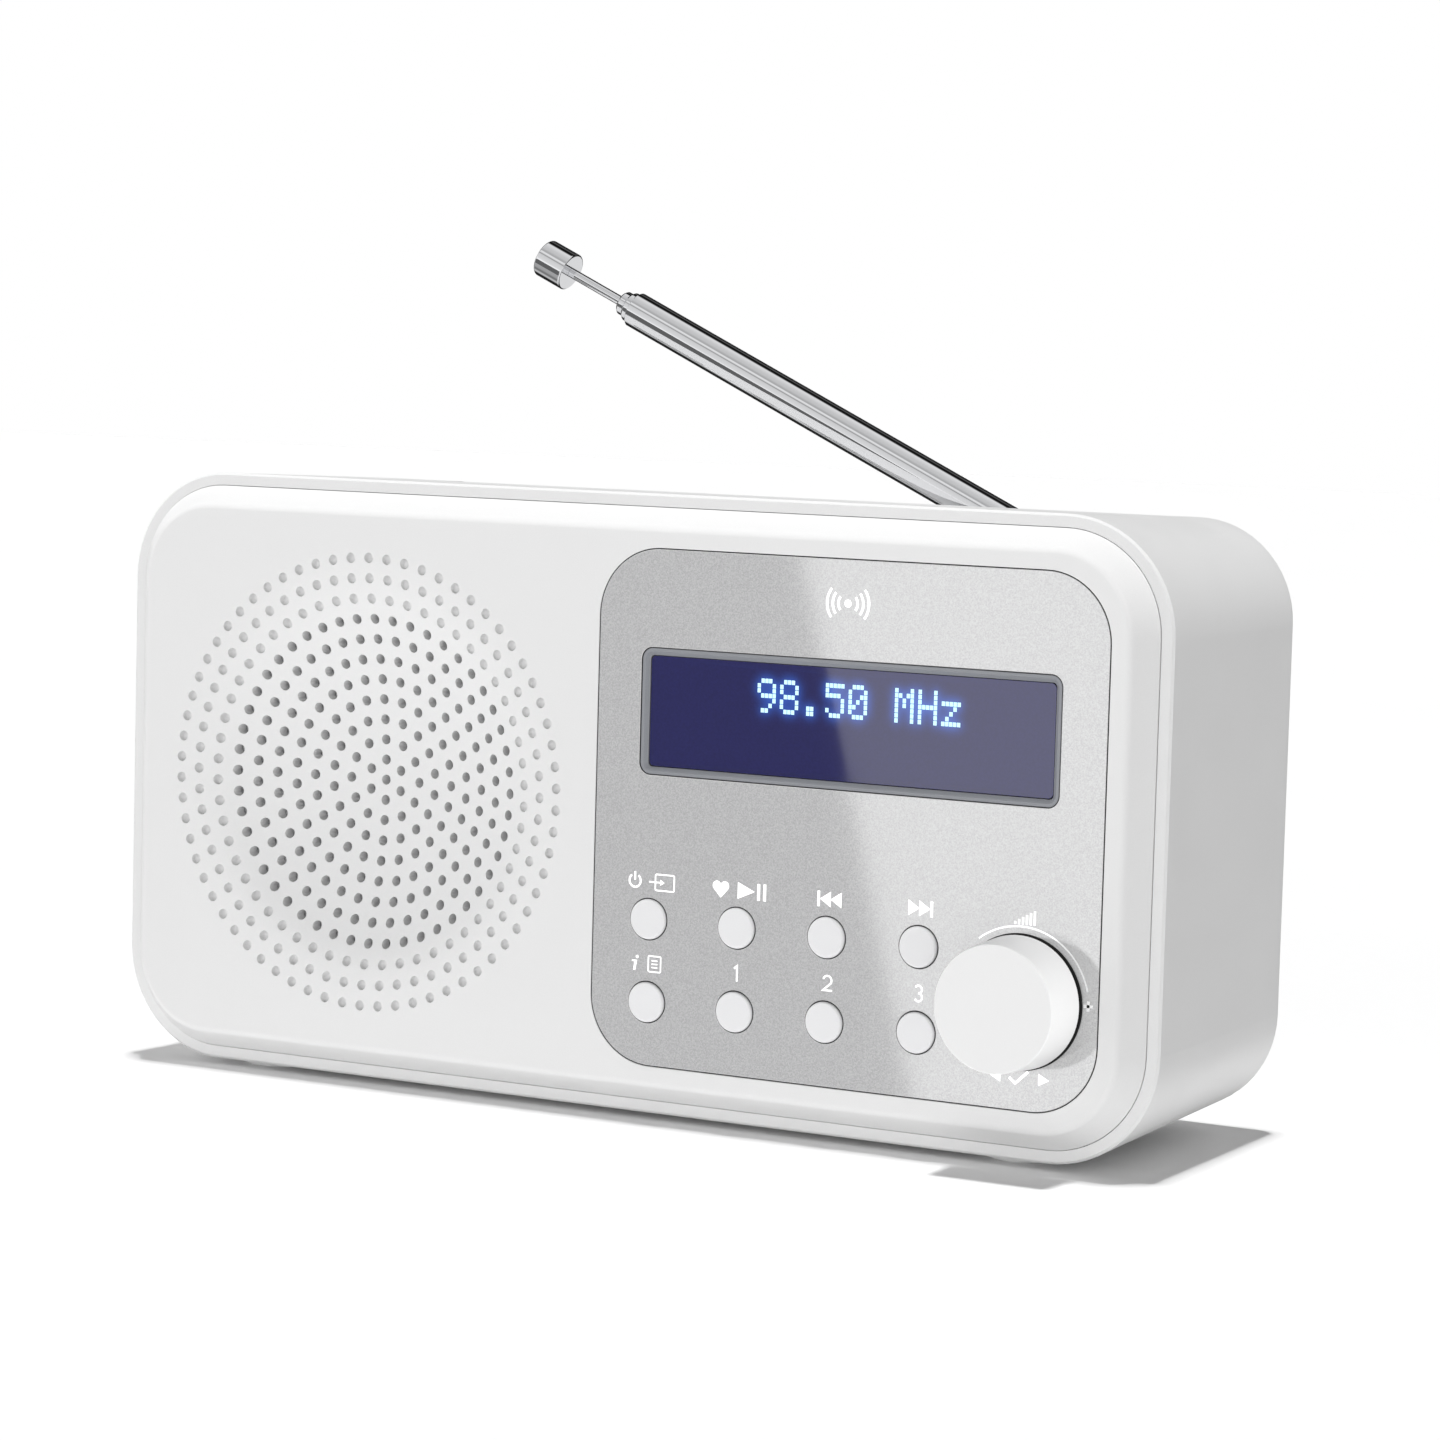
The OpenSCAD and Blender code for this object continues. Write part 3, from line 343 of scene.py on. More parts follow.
FINISHES = {
    slot: material(slot, *look, **detail)
    for slot, look, detail in (
        ("white_plastic", ((0.80, 0.80, 0.80), 0.42), dict(
            grain=0.25, contrast=0.01, bump=0.25, relief=0.006,
        )),
        ("silver_plate", ((0.41, 0.41, 0.414), 0.4), dict(
            grain=0.2, contrast=0.16, bump=0.35, Metallic=0.25,
            Coat_Weight=1.0, Coat_Roughness=0.05, Coat_IOR=3.0,
        )),
        ("grey_bezel", ((0.30, 0.31, 0.335), 0.4), dict(grain=0.2, contrast=0.04, Metallic=0.2)),
        ("display_lens", ((0.018, 0.018, 0.105), 0.03), dict(
            grain=0.4, contrast=0.08, rough_spread=0.01, bump=0, IOR=2.0,
        )),
        ("lcd_glass", ((0.03, 0.03, 0.12), 0.12), dict(contrast=0.1)),
        ("light_guide", ((0.78, 0.80, 0.84), 0.5), dict(grain=0.4, Subsurface_Weight=0.1)),
        ("cloth", ((0.42, 0.42, 0.43), 0.9), dict(
            grain=0.25, contrast=0.5, bump=0.9, relief=0.15, Sheen_Weight=0.3,
        )),
        ("foam", ((0.03, 0.03, 0.032), 0.95), dict(grain=0.35, contrast=0.4, bump=0.9, relief=0.2)),
        ("black_metal", ((0.03, 0.03, 0.032), 0.4), dict(grain=0.3, contrast=0.1, bump=0.3)),
        ("rubber", ((0.012, 0.012, 0.012), 0.7), dict(grain=0.4, contrast=0.2, bump=0.3)),
        ("paper_cone", ((0.02, 0.02, 0.022), 0.85), dict(contrast=0.35, bump=0.7, relief=0.08)),
        ("copper", ((0.72, 0.32, 0.14), 0.3), dict(grain=0.2, contrast=0.15, Metallic=1.0)),
        ("steel", ((0.58, 0.58, 0.59), 0.28), dict(grain=0.3, contrast=0.06, bump=0.15, Metallic=1.0)),
        ("key_plastic", ((0.82, 0.82, 0.83), 0.38), dict(
            grain=0.2, contrast=0.012, bump=0.15, relief=0.005,
        )),
        ("black_plastic", ((0.018, 0.018, 0.02), 0.45), dict(grain=0.3, contrast=0.12, bump=0.3)),
        ("circuit_board", ((0.02, 0.13, 0.05), 0.35), dict(
            grain=1.6, contrast=0.35, bump=0.3, relief=0.03,
        )),
        ("ribbon", ((0.55, 0.56, 0.58), 0.4), dict(grain=0.6, contrast=0.08)),
        ("cell_wrap", ((0.10, 0.11, 0.13), 0.25), dict(grain=0.6, contrast=0.08, Coat_Weight=0.4)),
        ("chrome", ((0.74, 0.745, 0.76), 0.03), dict(
            grain=0.3, contrast=0.02, rough_spread=0.01, bump=0.01, Metallic=1.0,
        )),
        ("lead_sleeve", ((0.10, 0.02, 0.02), 0.5), dict(grain=0.4, contrast=0.15)),
    )
}
INK = material("legend_ink", (0.97, 0.97, 0.97), 0.5, grain=0.15, contrast=0.03, bump=0.2)
KNOB_WHITE = material(
    "knob_white", (0.86, 0.86, 0.86), 0.4, grain=0.2, contrast=0.01, bump=0.15, relief=0.005
)

for node in NODES.values():
    for i, old in enumerate(node.data.materials):
        node.data.materials[i] = FINISHES[old.name]


# ---------- front panel with its dished grille ----------

DISH_LEAN = math.asin(DISH_BLEND_R / DISH_SPHERE_R)
DISH_R = DISH_BLEND_R + DISH_EDGE_ROUND * math.sin(DISH_LEAN)
DISH_D = (DISH_EDGE_ROUND + DISH_SPHERE_R) * (1 - math.cos(DISH_LEAN))


def dish(r):
    """Depth and slope of the dish at a distance from its centre."""
    if r >= DISH_R:
        return 0.0, 0.0
    if r <= DISH_BLEND_R:
        height = math.sqrt(DISH_SPHERE_R**2 - r * r)
        return DISH_D - DISH_SPHERE_R + height, -r / height
    past = DISH_R - r
    height = math.sqrt(DISH_EDGE_ROUND**2 - past * past)
    return DISH_EDGE_ROUND - height, -past / height


def panel_front(x, z):
    """Depth and normal of the panel's front surface."""
    dx = x - GRILLE_X
    r = math.hypot(dx, z)
    depth, slope = dish(r)
    long = math.hypot(1, slope)
    return depth, (slope * dx / max(r, 1e-9) / long, -1 / long, slope * z / max(r, 1e-9) / long)


def panel_back(x, z):
    """Depth and normal of the panel's back surface."""
    depth = panel_front(x, z)[0]
    return max(PANEL_T, depth + DISH_WALL), (0, 1, 0)


def grille_places():
    """Centre and ring number of each hole of the grille."""
    yield GRILLE_X, 0, 0
    for ring in range(1, HOLE_RINGS + 1):
        for i in range(6 * ring):
            a = math.radians((i + (ring % 2) / 2) * 60 / ring)
            yield GRILLE_X + ring * HOLE_PITCH * math.cos(a), ring * HOLE_PITCH * math.sin(a), ring


def between_rings():
    """Points between the rings of holes and along the dish's edge, so that the dish is round there."""
    for ring in range(HOLE_RINGS):
        r = (ring + 0.5) * HOLE_PITCH
        count = 6 * ring + 3
        for i in range(count):
            a = math.tau * (i + 0.25) / count
            yield GRILLE_X + r * math.cos(a), r * math.sin(a)
    for c, s in compass(DISH_EDGE_POINTS):
        yield GRILLE_X + DISH_R * c, DISH_R * s


def drill(shape, x, z, through):
    """One hole with a soft rim; returns its loops on the front and, if it goes through, on the back."""
    way = compass(HOLE_SIDES)
    wide = HOLE_R + HOLE_RIM
    top = [panel_front(x + wide * c, z + wide * s) for c, s in way]

    def level(radius, depths, lean):
        """A ring whose normals lean from the front surface's to the wall's."""
        points = [(x + radius * c, d, z + radius * s) for (c, s), d in zip(way, depths)]
        normals = [
            tuple(Vector(n) * math.cos(lean) + Vector((-c, 0, -s)) * math.sin(lean))
            for (c, s), (_, n) in zip(way, top)
        ]
        return shape.ring(points, normals)

    rings = []
    for k in range(4):
        lean = math.radians(30 * k)
        sink = HOLE_RIM * (1 - math.cos(lean))
        rings.append(level(HOLE_R + HOLE_RIM * (1 - math.sin(lean)), [d + sink for d, _ in top], lean))
    if through:
        ends = [panel_back(x + HOLE_R * c, z + HOLE_R * s)[0] for c, s in way]
        rings.append(level(HOLE_R, ends, math.pi / 2))
    else:
        middle = panel_front(x, z)[0]
        for k in range(3):
            lean = math.radians(90 - 30 * k)
            depth = middle + DIMPLE_D * (0.55 + 0.45 * math.cos(lean))
            rings.append(level(HOLE_R * math.sin(lean), [depth] * HOLE_SIDES, lean))
        rings.append(shape.ring([(x, middle + DIMPLE_D, z)], [(0, -1, 0)]))
    for a, b in zip(rings, rings[1:]):
        shape.bridge(b, a)
    return rings[0], rings[-1]


def front_shell():
    shape = Shape()
    # from the face over the sloping edge, round the skirt's back edge and in along the inside
    edge = shape.sweep(block_outline(CORNER_X, CORNER_Z, steps=24), rounded([
        (FACE_R - 2.5, 0, 0), (FACE_R, 0, 1.6), (SEAM_R, CHAMFER_D, 0.35), (SEAM_R - 0.1, SKIRT_D, 0.3),
        (SEAM_R - SKIRT_T, SKIRT_D, 0.3), (SEAM_R - SKIRT_T, CHAMFER_D + 1.6, 0.6),
        (FACE_R - 1.2, PANEL_T, 0.6), (FACE_R - 3, PANEL_T, 0),
    ]))
    seat_radius = PLATE_R + HAIRLINE
    seat = shape.sweep(outline_of_box(PLATE_LOW, PLATE_HIGH, PLATE_R), rounded([
        (seat_radius - 1, SEAT_D, 0), (seat_radius, SEAT_D, 0.1), (seat_radius, 0, 0.15),
        (seat_radius + 1, 0, 0),
    ])[:-1])
    front_loops = [edge[0], seat[-1]]
    back_loops = [edge[-1]]
    for x, z, ring in grille_places():
        through = ring <= OPEN_RINGS
        front_loop, back_loop = drill(shape, x, z, through)
        front_loops.append(front_loop)
        if through:
            back_loops.append(back_loop)
    floor_loops = [seat[0]]
    for outline, radius in plate_windows(SEAT_ROOM):
        front_loop, back_loop = window(shape, outline, radius, SEAT_D, PANEL_T, fillet=0.05)
        floor_loops.append(front_loop)
        back_loops.append(back_loop)
    shape.surface(front_loops, panel_front, extra=list(between_rings()))
    shape.surface(floor_loops, flat(SEAT_D))
    shape.surface(back_loops, panel_back, extra=list(between_rings()), backward=True)
    return shape.build("front_shell", "root", FINISHES["white_plastic"], ["front_panel"])


# ---------- control plate and display ----------


def key_centre(name):
    low, high = box_of(name)
    return (low.x + high.x) / 2, (low.z + high.z) / 2


def plate_windows(room):
    """Outlines and radii of the openings in the plate, or with more room in the panel behind it."""
    for name in KEYS:
        yield round_outline(*key_centre(name), sides=72), KEY_HOLE_R + room
    yield round_outline(KNOB_X, KNOB_Z, sides=48), SHAFT_HOLE_R + room
    yield outline_of_box(BEZEL_LOW, BEZEL_HIGH, BEZEL_R), BEZEL_R + BEZEL_ROOM


def control_plate():
    shape = Shape()
    back = PLATE_HIGH.y
    rim = shape.sweep(outline_of_box(PLATE_LOW, PLATE_HIGH, PLATE_R, steps=24), rounded([
        (PLATE_R - 1, 0, 0), (PLATE_R, 0, 0.12), (PLATE_R, back, 0.1), (PLATE_R - 1, back, 0),
    ]))
    front_loops = [rim[0]]
    back_loops = [rim[-1]]
    for outline, radius in plate_windows(0):
        front_loop, back_loop = window(shape, outline, radius, 0, back)
        front_loops.append(front_loop)
        back_loops.append(back_loop)
    shape.surface(front_loops, flat(0))
    shape.surface(back_loops, flat(back, 1), backward=True)
    return shape.build("plate", "root", FINISHES["silver_plate"], ["control_plate"])


def ring_between(shape, outline, inner, outer, front, back):
    """A flat ring between two radii of an outline."""
    shape.sweep(outline, rounded([
        (inner, back, 0), (inner, front, 0.01), (outer, front, 0.01), (outer, back, 0.01), (inner, back, 0),
    ], steps=1))


def painted_gap_shade():
    """Black rings of painted shade in the hairline gaps round the plate, the keys, the display frame and the
    knob.
    """
    shape = Shape()
    plate = outline_of_box(PLATE_LOW, PLATE_HIGH, PLATE_R, 24)
    ring_between(shape, plate, PLATE_R + SHADE_RING_SPARE, PLATE_R + HAIRLINE - SHADE_RING_SPARE, SHADE_RING_D, 0.5)
    bezel = outline_of_box(BEZEL_LOW, BEZEL_HIGH, BEZEL_R)
    ring_between(shape, bezel, BEZEL_R + SHADE_RING_SPARE, BEZEL_R + BEZEL_ROOM - SHADE_RING_SPARE, SHADE_RING_D, 0.5)
    for name in KEYS:
        around = round_outline(*key_centre(name), 72)
        ring_between(shape, around, KEY_R + 3 * SHADE_RING_SPARE, KEY_HOLE_R - SHADE_RING_SPARE, SHADE_RING_D, 0.4)
    # A black ring under the knob's rim: painted shadow where the knob meets the plate
    knob_r = (KNOB_HIGH.x - KNOB_LOW.x) / 2
    ring_between(shape, round_outline(KNOB_X, KNOB_Z), knob_r - 1.5, knob_r + 0.2, -0.03, 0.02)
    return shape.build("painted_gap_shade", "root", FINISHES["rubber"])


def display_frame():
    shape = Shape()
    inner = BEZEL_R - BEZEL_W
    front, back = BEZEL_LOW.y, BEZEL_HIGH.y
    shape.sweep(outline_of_box(BEZEL_LOW, BEZEL_HIGH, BEZEL_R), rounded([
        (inner, back, 0), (inner, LENS_LOW.y - 0.1, 0.1), (BEZEL_R - 0.55, front, 0.15),
        (BEZEL_R, front, 0.15), (BEZEL_R, back, 0),
    ]), closed=True)
    return shape.build("display_frame", "root", FINISHES["grey_bezel"], ["display_bezel"])


# Characters of a display of 5 by 7 dots, each row from the left
DOT_ROWS = {
    "9": (".###.", "#...#", "#...#", ".####", "....#", "...#.", ".##.."),
    "8": (".###.", "#...#", "#...#", ".###.", "#...#", "#...#", ".###."),
    ".": (".....", ".....", ".....", ".....", ".....", ".##..", ".##.."),
    "5": ("#####", "#....", "####.", "....#", "....#", "#...#", ".###."),
    "0": (".###.", "#...#", "#..##", "#.#.#", "##..#", "#...#", ".###."),
    " ": (".....", ".....", ".....", ".....", ".....", ".....", "....."),
    "M": ("#...#", "##.##", "#.#.#", "#.#.#", "#...#", "#...#", "#...#"),
    "H": ("#...#", "#...#", "#...#", "#####", "#...#", "#...#", "#...#"),
    "z": (".....", ".....", "#####", "...#.", "..#..", ".#...", "#####"),
}
READOUT = "98.50 MHz"
READOUT_X, READOUT_Z = 27.6, 22.2
DOT_W, DOT_H = 0.68, 0.786
DOT_GAP = 0.1


def lit_dots():
    """Centres of the lit dots of the read-out."""
    for place, letter in enumerate(READOUT):
        for row, cells in enumerate(DOT_ROWS[letter]):
            for column, cell in enumerate(cells):
                if cell == "#":
                    yield READOUT_X + (6 * place + column + 0.5) * DOT_W, READOUT_Z - (row + 0.5) * DOT_H


def glow_at(x, z, dots, reach=0.8):
    """How strongly the lit dots light the glass round them."""
    return sum(math.exp(-((x - u) ** 2 + (z - v) ** 2) / (2 * reach * reach)) for u, v in dots)


def display_window():
    """Dark glass over the display, which glows softly round the lit dots."""
    shape = Shape()
    radius = 0.9
    front, back = LENS_LOW.y, LENS_HIGH.y
    rim = shape.sweep(outline_of_box(LENS_LOW, LENS_HIGH, radius, steps=6), rounded([
        (radius - 0.3, front, 0), (radius, front, 0.05), (radius, back, 0.05), (radius - 0.3, back, 0),
    ]))
    step = 0.45
    grid = [
        (LENS_LOW.x + 1 + i * step, LENS_LOW.z + 1 + j * step)
        for i in range(int((LENS_HIGH.x - LENS_LOW.x - 2) / step) + 1)
        for j in range(int((LENS_HIGH.z - LENS_LOW.z - 2) / step) + 1)
    ]
    shape.surface([rim[0]], flat(front), extra=grid)
    shape.surface([rim[-1]], flat(back, 1), backward=True)
    glass = FINISHES["display_lens"]
    piece = shape.build("display_window", "root", glass, ["display_lens"])
    dots = list(lit_dots())
    glow = piece.data.attributes.new("glow", "FLOAT", "POINT")
    glow.data.foreach_set("value", [glow_at(x, z, dots) if d < back else 0.0 for x, d, z in shape.points])
    tree = glass.node_tree
    shader = tree.nodes["Principled BSDF"]
    source = tree.nodes.new("ShaderNodeAttribute")
    source.attribute_name = "glow"
    gain = tree.nodes.new("ShaderNodeMath")
    gain.operation = "MULTIPLY"
    gain.inputs[1].default_value = 0.11
    tree.links.new(source.outputs["Fac"], gain.inputs[0])
    tree.links.new(gain.outputs["Value"], shader.inputs["Emission Strength"])
    shader.inputs["Emission Color"].default_value = (0.05, 0.22, 1.0, 1)
    return piece


def flat_piece(name, polygons, front, thick, mat):
    """Thin raised shapes of (x, z) points, as one piece whose front lies at depth front."""
    mesh = bpy.data.meshes.new(name)
    points = []
    faces = []
    for polygon in polygons:
        area = sum(a[0] * b[1] - b[0] * a[1] for a, b in zip(polygon, polygon[1:] + polygon[:1]))
        way = polygon if area > 0 else polygon[::-1]
        count = len(way)
        first = len(points)
        points += [CASE @ Vector((x, front, z)) for x, z in way]
        points += [CASE @ Vector((x, front + thick, z)) for x, z in way]
        faces.append(tuple(first + k for k in range(count)))
        faces.append(tuple(first + 2 * count - 1 - k for k in range(count)))
        for k in range(count):
            m = (k + 1) % count
            faces.append((first + k, first + count + k, first + count + m, first + m))
    mesh.from_pydata(points, [], faces)
    mesh.materials.append(mat)
    return finish_piece(bpy.data.objects.new(name, mesh), "root")


def display_dots():
    lit = material("lit_dot", (0.3, 0.5, 0.62), 0.4, grain=0.3, contrast=0.02, bump=0)
    shader = lit.node_tree.nodes["Principled BSDF"]
    shader.inputs["Emission Color"].default_value = (0.6, 0.92, 1.0, 1)
    shader.inputs["Emission Strength"].default_value = 0.8
    u, v = DOT_W / 2 - DOT_GAP / 2, DOT_H / 2 - DOT_GAP / 2
    squares = [[(x - u, z - v), (x + u, z - v), (x + u, z + v), (x - u, z + v)] for x, z in lit_dots()]
    return flat_piece("display_dots", squares, LENS_LOW.y - 0.02, 0.04, lit)


# ---------- legends ----------

# Widths of the printed lines
BOLD = 0.32
DIGIT = 0.3
FINE = 0.24

# How far the marks stand above the middles of the upper and the lower keys
UPPER_RISE = 6.1
LOWER_RISE = 6.25

# Middle of the broadcast mark
BADGE_X, BADGE_Z = 43.8, 34.9


def arc(x, z, r, a0, a1, steps=16):
    """Points along a circular arc between two angles in degrees."""
    angles = [math.radians(a0 + (a1 - a0) * k / steps) for k in range(steps + 1)]
    return [(x + r * math.cos(a), z + r * math.sin(a)) for a in angles]


def stroke(way, width):
    """A line of a given width along points, as one polygon for each stretch."""
    left, right = [], []
    for k, here in enumerate(way):
        before = Vector(way[max(k - 1, 0)])
        after = Vector(way[min(k + 1, len(way) - 1)])
        into = (Vector(here) - before).normalized() if k else (after - before).normalized()
        out = (after - Vector(here)).normalized() if k < len(way) - 1 else into
        along = (into + out).normalized()
        side = Vector((-along.y, along.x)) * width / 2 / max(0.4, along.dot(into))
        left.append(tuple(Vector(here) + side))
        right.append(tuple(Vector(here) - side))
    return [[right[k], right[k + 1], left[k + 1], left[k]] for k in range(len(way) - 1)]


def bar(x0, x1, z0, z1):
    return [(x0, z0), (x1, z0), (x1, z1), (x0, z1)]


def rounded_frame(x0, x1, z0, z1, r, width):
    """The outline of a small rounded box, as a stroke."""
    way = arc(x1 - r, z1 - r, r, 0, 90, 4) + arc(x0 + r, z1 - r, r, 90, 180, 4)
    way += arc(x0 + r, z0 + r, r, 180, 270, 4) + arc(x1 - r, z0 + r, r, 270, 360, 4)
    return stroke(way + way[:1], width)


def heart(x, z, half):
    """A heart whose lobes are arcs and whose sides run to a point."""
    r = half * 0.52
    lobe_x, lobe_z = half - r, z + half * 0.35
    right = arc(x + lobe_x, lobe_z, r, -38, 155, 12)
    left = [(2 * x - u, v) for u, v in reversed(right)]
    return [right + left + [(x, z - half * 0.92)]]


def power_and_source(x, z):
    """A broken ring with a bar, and an arrow into a box."""
    ring_x = x - 2.7
    return [
        *stroke(arc(ring_x, z, 1.05, 125, 415, 24), BOLD),
        bar(ring_x - BOLD / 2, ring_x + BOLD / 2, z + 0.1, z + 1.5),
        *rounded_frame(x + 1.1, x + 4.6, z - 1.3, z + 1.3, 0.25, FINE),
        bar(x - 0.1, x + 2.1, z - FINE / 2, z + FINE / 2),
        [(x + 2.0, z - 0.5), (x + 2.8, z), (x + 2.0, z + 0.5)],
    ]


def favourite_and_play(x, z):
    """A heart, and play or pause."""
    pauses = [bar(x + u, x + u + 0.5, z - 1.35, z + 1.35) for u in (3.6, 4.7)]
    play = [(x + 0.05, z - 1.35), (x + 3.15, z), (x + 0.05, z + 1.35)]
    return [*heart(x - 3.05, z - 0.05, 1.5), play, *pauses]


def skip(x, z, way):
    """Two triangles and a bar round x, to the right if way is 1 and to the left if it is -1."""
    triangles = [
        [(x + way * u, z - 1.25), (x + way * (u + 1.95), z), (x + way * u, z + 1.25)]
        for u in (-2.15, -0.25)
    ]
    near, far = sorted((x + way * 1.7, x + way * 2.15))
    return triangles + [bar(near, far, z - 1.25, z + 1.25)]


def skip_back(x, z):
    return skip(x + 0.35, z, -1)


def skip_forward(x, z):
    return skip(x + 0.2, z, 1)


def information(x, z):
    """A leaning i and a list in a frame."""
    stem = [(-2.65, -1.2), (-2.25, -1.2), (-1.95, 0.45), (-2.9, 0.45), (-2.95, 0.2), (-2.45, 0.2)]
    return [
        [(x + u, z + v) for u, v in stem],
        arc(x - 1.95, z + 1.0, 0.27, 0, 330, 11),
        *rounded_frame(x + 0.15, x + 2.45, z - 1.25, z + 1.3, 0.2, 0.22),
        *(bar(x + 0.75, x + 1.85, z + v - 0.09, z + v + 0.11) for v in (-0.55, 0, 0.55)),
    ]


def digit_1(x, z):
    return stroke([(x - 0.25, z + 0.75), (x + 0.3, z + 1.2), (x + 0.3, z - 1.3)], DIGIT)


def digit_2(x, z):
    foot = z - 1.13
    return stroke(arc(x + 0.4, z + 0.45, 0.75, 165, -35, 12) + [(x - 0.35, foot), (x + 1.3, foot)], DIGIT)


def digit_3(x, z):
    upper = arc(x + 0.25, z + 0.6, 0.62, 150, -90, 12)
    lower = arc(x + 0.25, z - 0.62, 0.66, 90, -150, 12)
    return stroke(upper, DIGIT) + stroke(lower, DIGIT)


def volume_marks(x, z):
    """Rising bars, an arc round the knob, and a plus and a minus at its sides."""
    foot = z + 12.05
    bars = [bar(x - 1.3 + 0.66 * k, x - 0.94 + 0.66 * k, foot, foot + 0.45 + 0.36 * k) for k in range(6)]
    side, rise, half, thick = 11.65, 0.45, 0.8, 0.23
    level = (z + rise - thick, z + rise + thick)
    return bars + [
        *stroke(arc(x, z, 11.75, 13, 128, 48), 0.26),
        *stroke(arc(x, z, 11.75, 142, 167, 12), 0.26),
        bar(x + side - half, x + side + half, *level),
        bar(x + side - thick, x + side + thick, z + rise - half, z + rise + half),
        bar(x - side - half, x - side + half, *level),
    ]


def select_marks(x, z):
    """Left, tick and right, below the knob."""
    low = z - 11.75
    return [
        [(x - 4.6, low), (x - 2.8, low - 0.95), (x - 2.8, low + 0.95)],
        *stroke([(x - 1.3, low - 0.1), (x - 0.25, low - 0.95), (x + 1.9, low + 1.05)], 0.42),
        [(x + 3.7, low - 0.95), (x + 5.5, low), (x + 3.7, low + 0.95)],
    ]


def broadcast_mark(x, z):
    """A dot between waves."""
    marks = [arc(x, z, 0.62, 0, 345, 23)]
    for side in (0, 180):
        for r in (1.7, 2.7, 3.7):
            marks += stroke(arc(x, z, r, side - 38, side + 38, 12), 0.42)
    return marks


KEY_MARKS = {
    "key_power": power_and_source,
    "key_play": favourite_and_play,
    "key_previous": skip_back,
    "key_next": skip_forward,
    "key_info": information,
    "key_preset_1": digit_1,
    "key_preset_2": digit_2,
    "key_preset_3": digit_3,
}


def legends():
    """White printed marks of the controls."""
    marks = []
    for number, (key, draw) in enumerate(KEY_MARKS.items()):
        x, z = key_centre(key)
        marks += draw(x, z + (UPPER_RISE if number < 4 else LOWER_RISE))
    marks += volume_marks(KNOB_X, KNOB_Z)
    marks += select_marks(KNOB_X, KNOB_Z)
    marks += broadcast_mark(BADGE_X, BADGE_Z)
    return flat_piece("legends", marks, -0.02, 0.04, INK)


# ---------- keys and knob ----------


def key_cap(name):
    low, high = box_of(name)
    flange_r = (high.x - low.x) / 2
    flange_d = PANEL_T + 0.1
    shape = Shape()
    shape.sweep(round_outline(*key_centre(name), sides=72), rounded([
        (0, low.y, 0), (KEY_R, low.y, 0.45), (KEY_R, flange_d, 0.05), (flange_r, flange_d, 0.1),
        (flange_r, flange_d + 1, 0.1), (KEY_PUSHER_R, flange_d + 1, 0.1), (KEY_PUSHER_R, high.y, 0.2),
        (0, high.y, 0),
    ]))
    return shape.build(name + "_cap", name, FINISHES["key_plastic"], [name])


def knob():
    base_r = (KNOB_HIGH.x - KNOB_LOW.x) / 2
    front, back = KNOB_LOW.y, KNOB_HIGH.y
    hollow, floor_d = 8.4, front + 1.8
    boss, boss_d = 5, front + 4.7
    bore, bore_d = 3.02, front + 1.4
    shape = Shape()
    shape.sweep(round_outline(KNOB_X, KNOB_Z, sides=160), rounded([
        (0, front, 0), (base_r - 0.5, front, 0.25), (base_r, back, 0.15), (hollow, back, 0.2),
        (hollow, floor_d, 0.4), (boss, floor_d, 0.3), (boss, boss_d, 0.2), (bore, boss_d, 0.1),
        (bore, bore_d, 0.1), (0, bore_d, 0),
    ], steps=6))
    return shape.build("knob", "volume_knob", KNOB_WHITE, ["volume_knob"])


# ---------- aerial ----------

PIVOT = Vector(JOINTS["aerial_tilt"]["pos_m"])
ALONG = Vector(JOINTS["aerial_slide_2"]["axis"])
ACROSS = Vector((0, 1, 0))
TUBE_AXES = Matrix((ACROSS, ALONG, ACROSS.cross(ALONG))).transposed().to_4x4()
TUBE_FRAME = Matrix.Translation(PIVOT) @ TUBE_AXES @ Matrix.Scale(MM, 4)
TUBE_R = 3.15
TUBE_WALL = 0.4
TUBE_GAP = 0.1
ROD_R = 0.85
ROD_FOOT = 3
TIP_R = 3.4


def reach_of(node):
    """How far a node of the aerial reaches from the pivot, nearest and furthest, along the tube."""
    spots = [(v.co - PIVOT).dot(ALONG) / MM for v in NODES[node].data.vertices]
    return min(spots), max(spots)


def turned_tube(name, body, replaces, corners, sides=64, steps=5):
    """A piece turned round the aerial's axis, from (r, along, fillet) corners."""
    shape = Shape()
    shape.sweep(round_outline(0, 0, sides), rounded(corners, steps))
    return shape.build(name, body, FINISHES["chrome"], replaces, TUBE_FRAME)


def telescope():
    """The two inner sections, the thin rod and its tip."""
    radius = TUBE_R - TUBE_WALL - TUBE_GAP
    for number in (2, 3):
        name = f"aerial_section_{number}"
        near, far = reach_of(name)
        bore = radius - TUBE_WALL if number == 2 else ROD_R + TUBE_GAP
        turned_tube(f"section_{number}", name, [name], [
            (bore, near, 0), (radius, near, 0.1), (radius, far - 0.35, 0.2), (radius - 0.3, far, 0.12),
            (bore, far, 0.1), (bore, near, 0),
        ])
        radius -= TUBE_WALL + TUBE_GAP
    near, far = reach_of("aerial_rod")
    turned_tube("rod", "aerial_rod", ["aerial_rod"], [
        (0, near, 0), (radius, near, 0.2), (radius, near + ROD_FOOT, 0.2), (ROD_R, near + ROD_FOOT, 0.1),
        (ROD_R, far, 0.05), (0, far, 0),
    ], sides=40)
    near, far = reach_of("aerial_tip")
    turned_tube("tip", "aerial_rod", ["aerial_tip"], [
        (0, near, 0), (TIP_R, near, 0.3), (TIP_R, far, 0.35), (0, far, 0),
    ], sides=72)


# ---------- stage, light and camera ----------

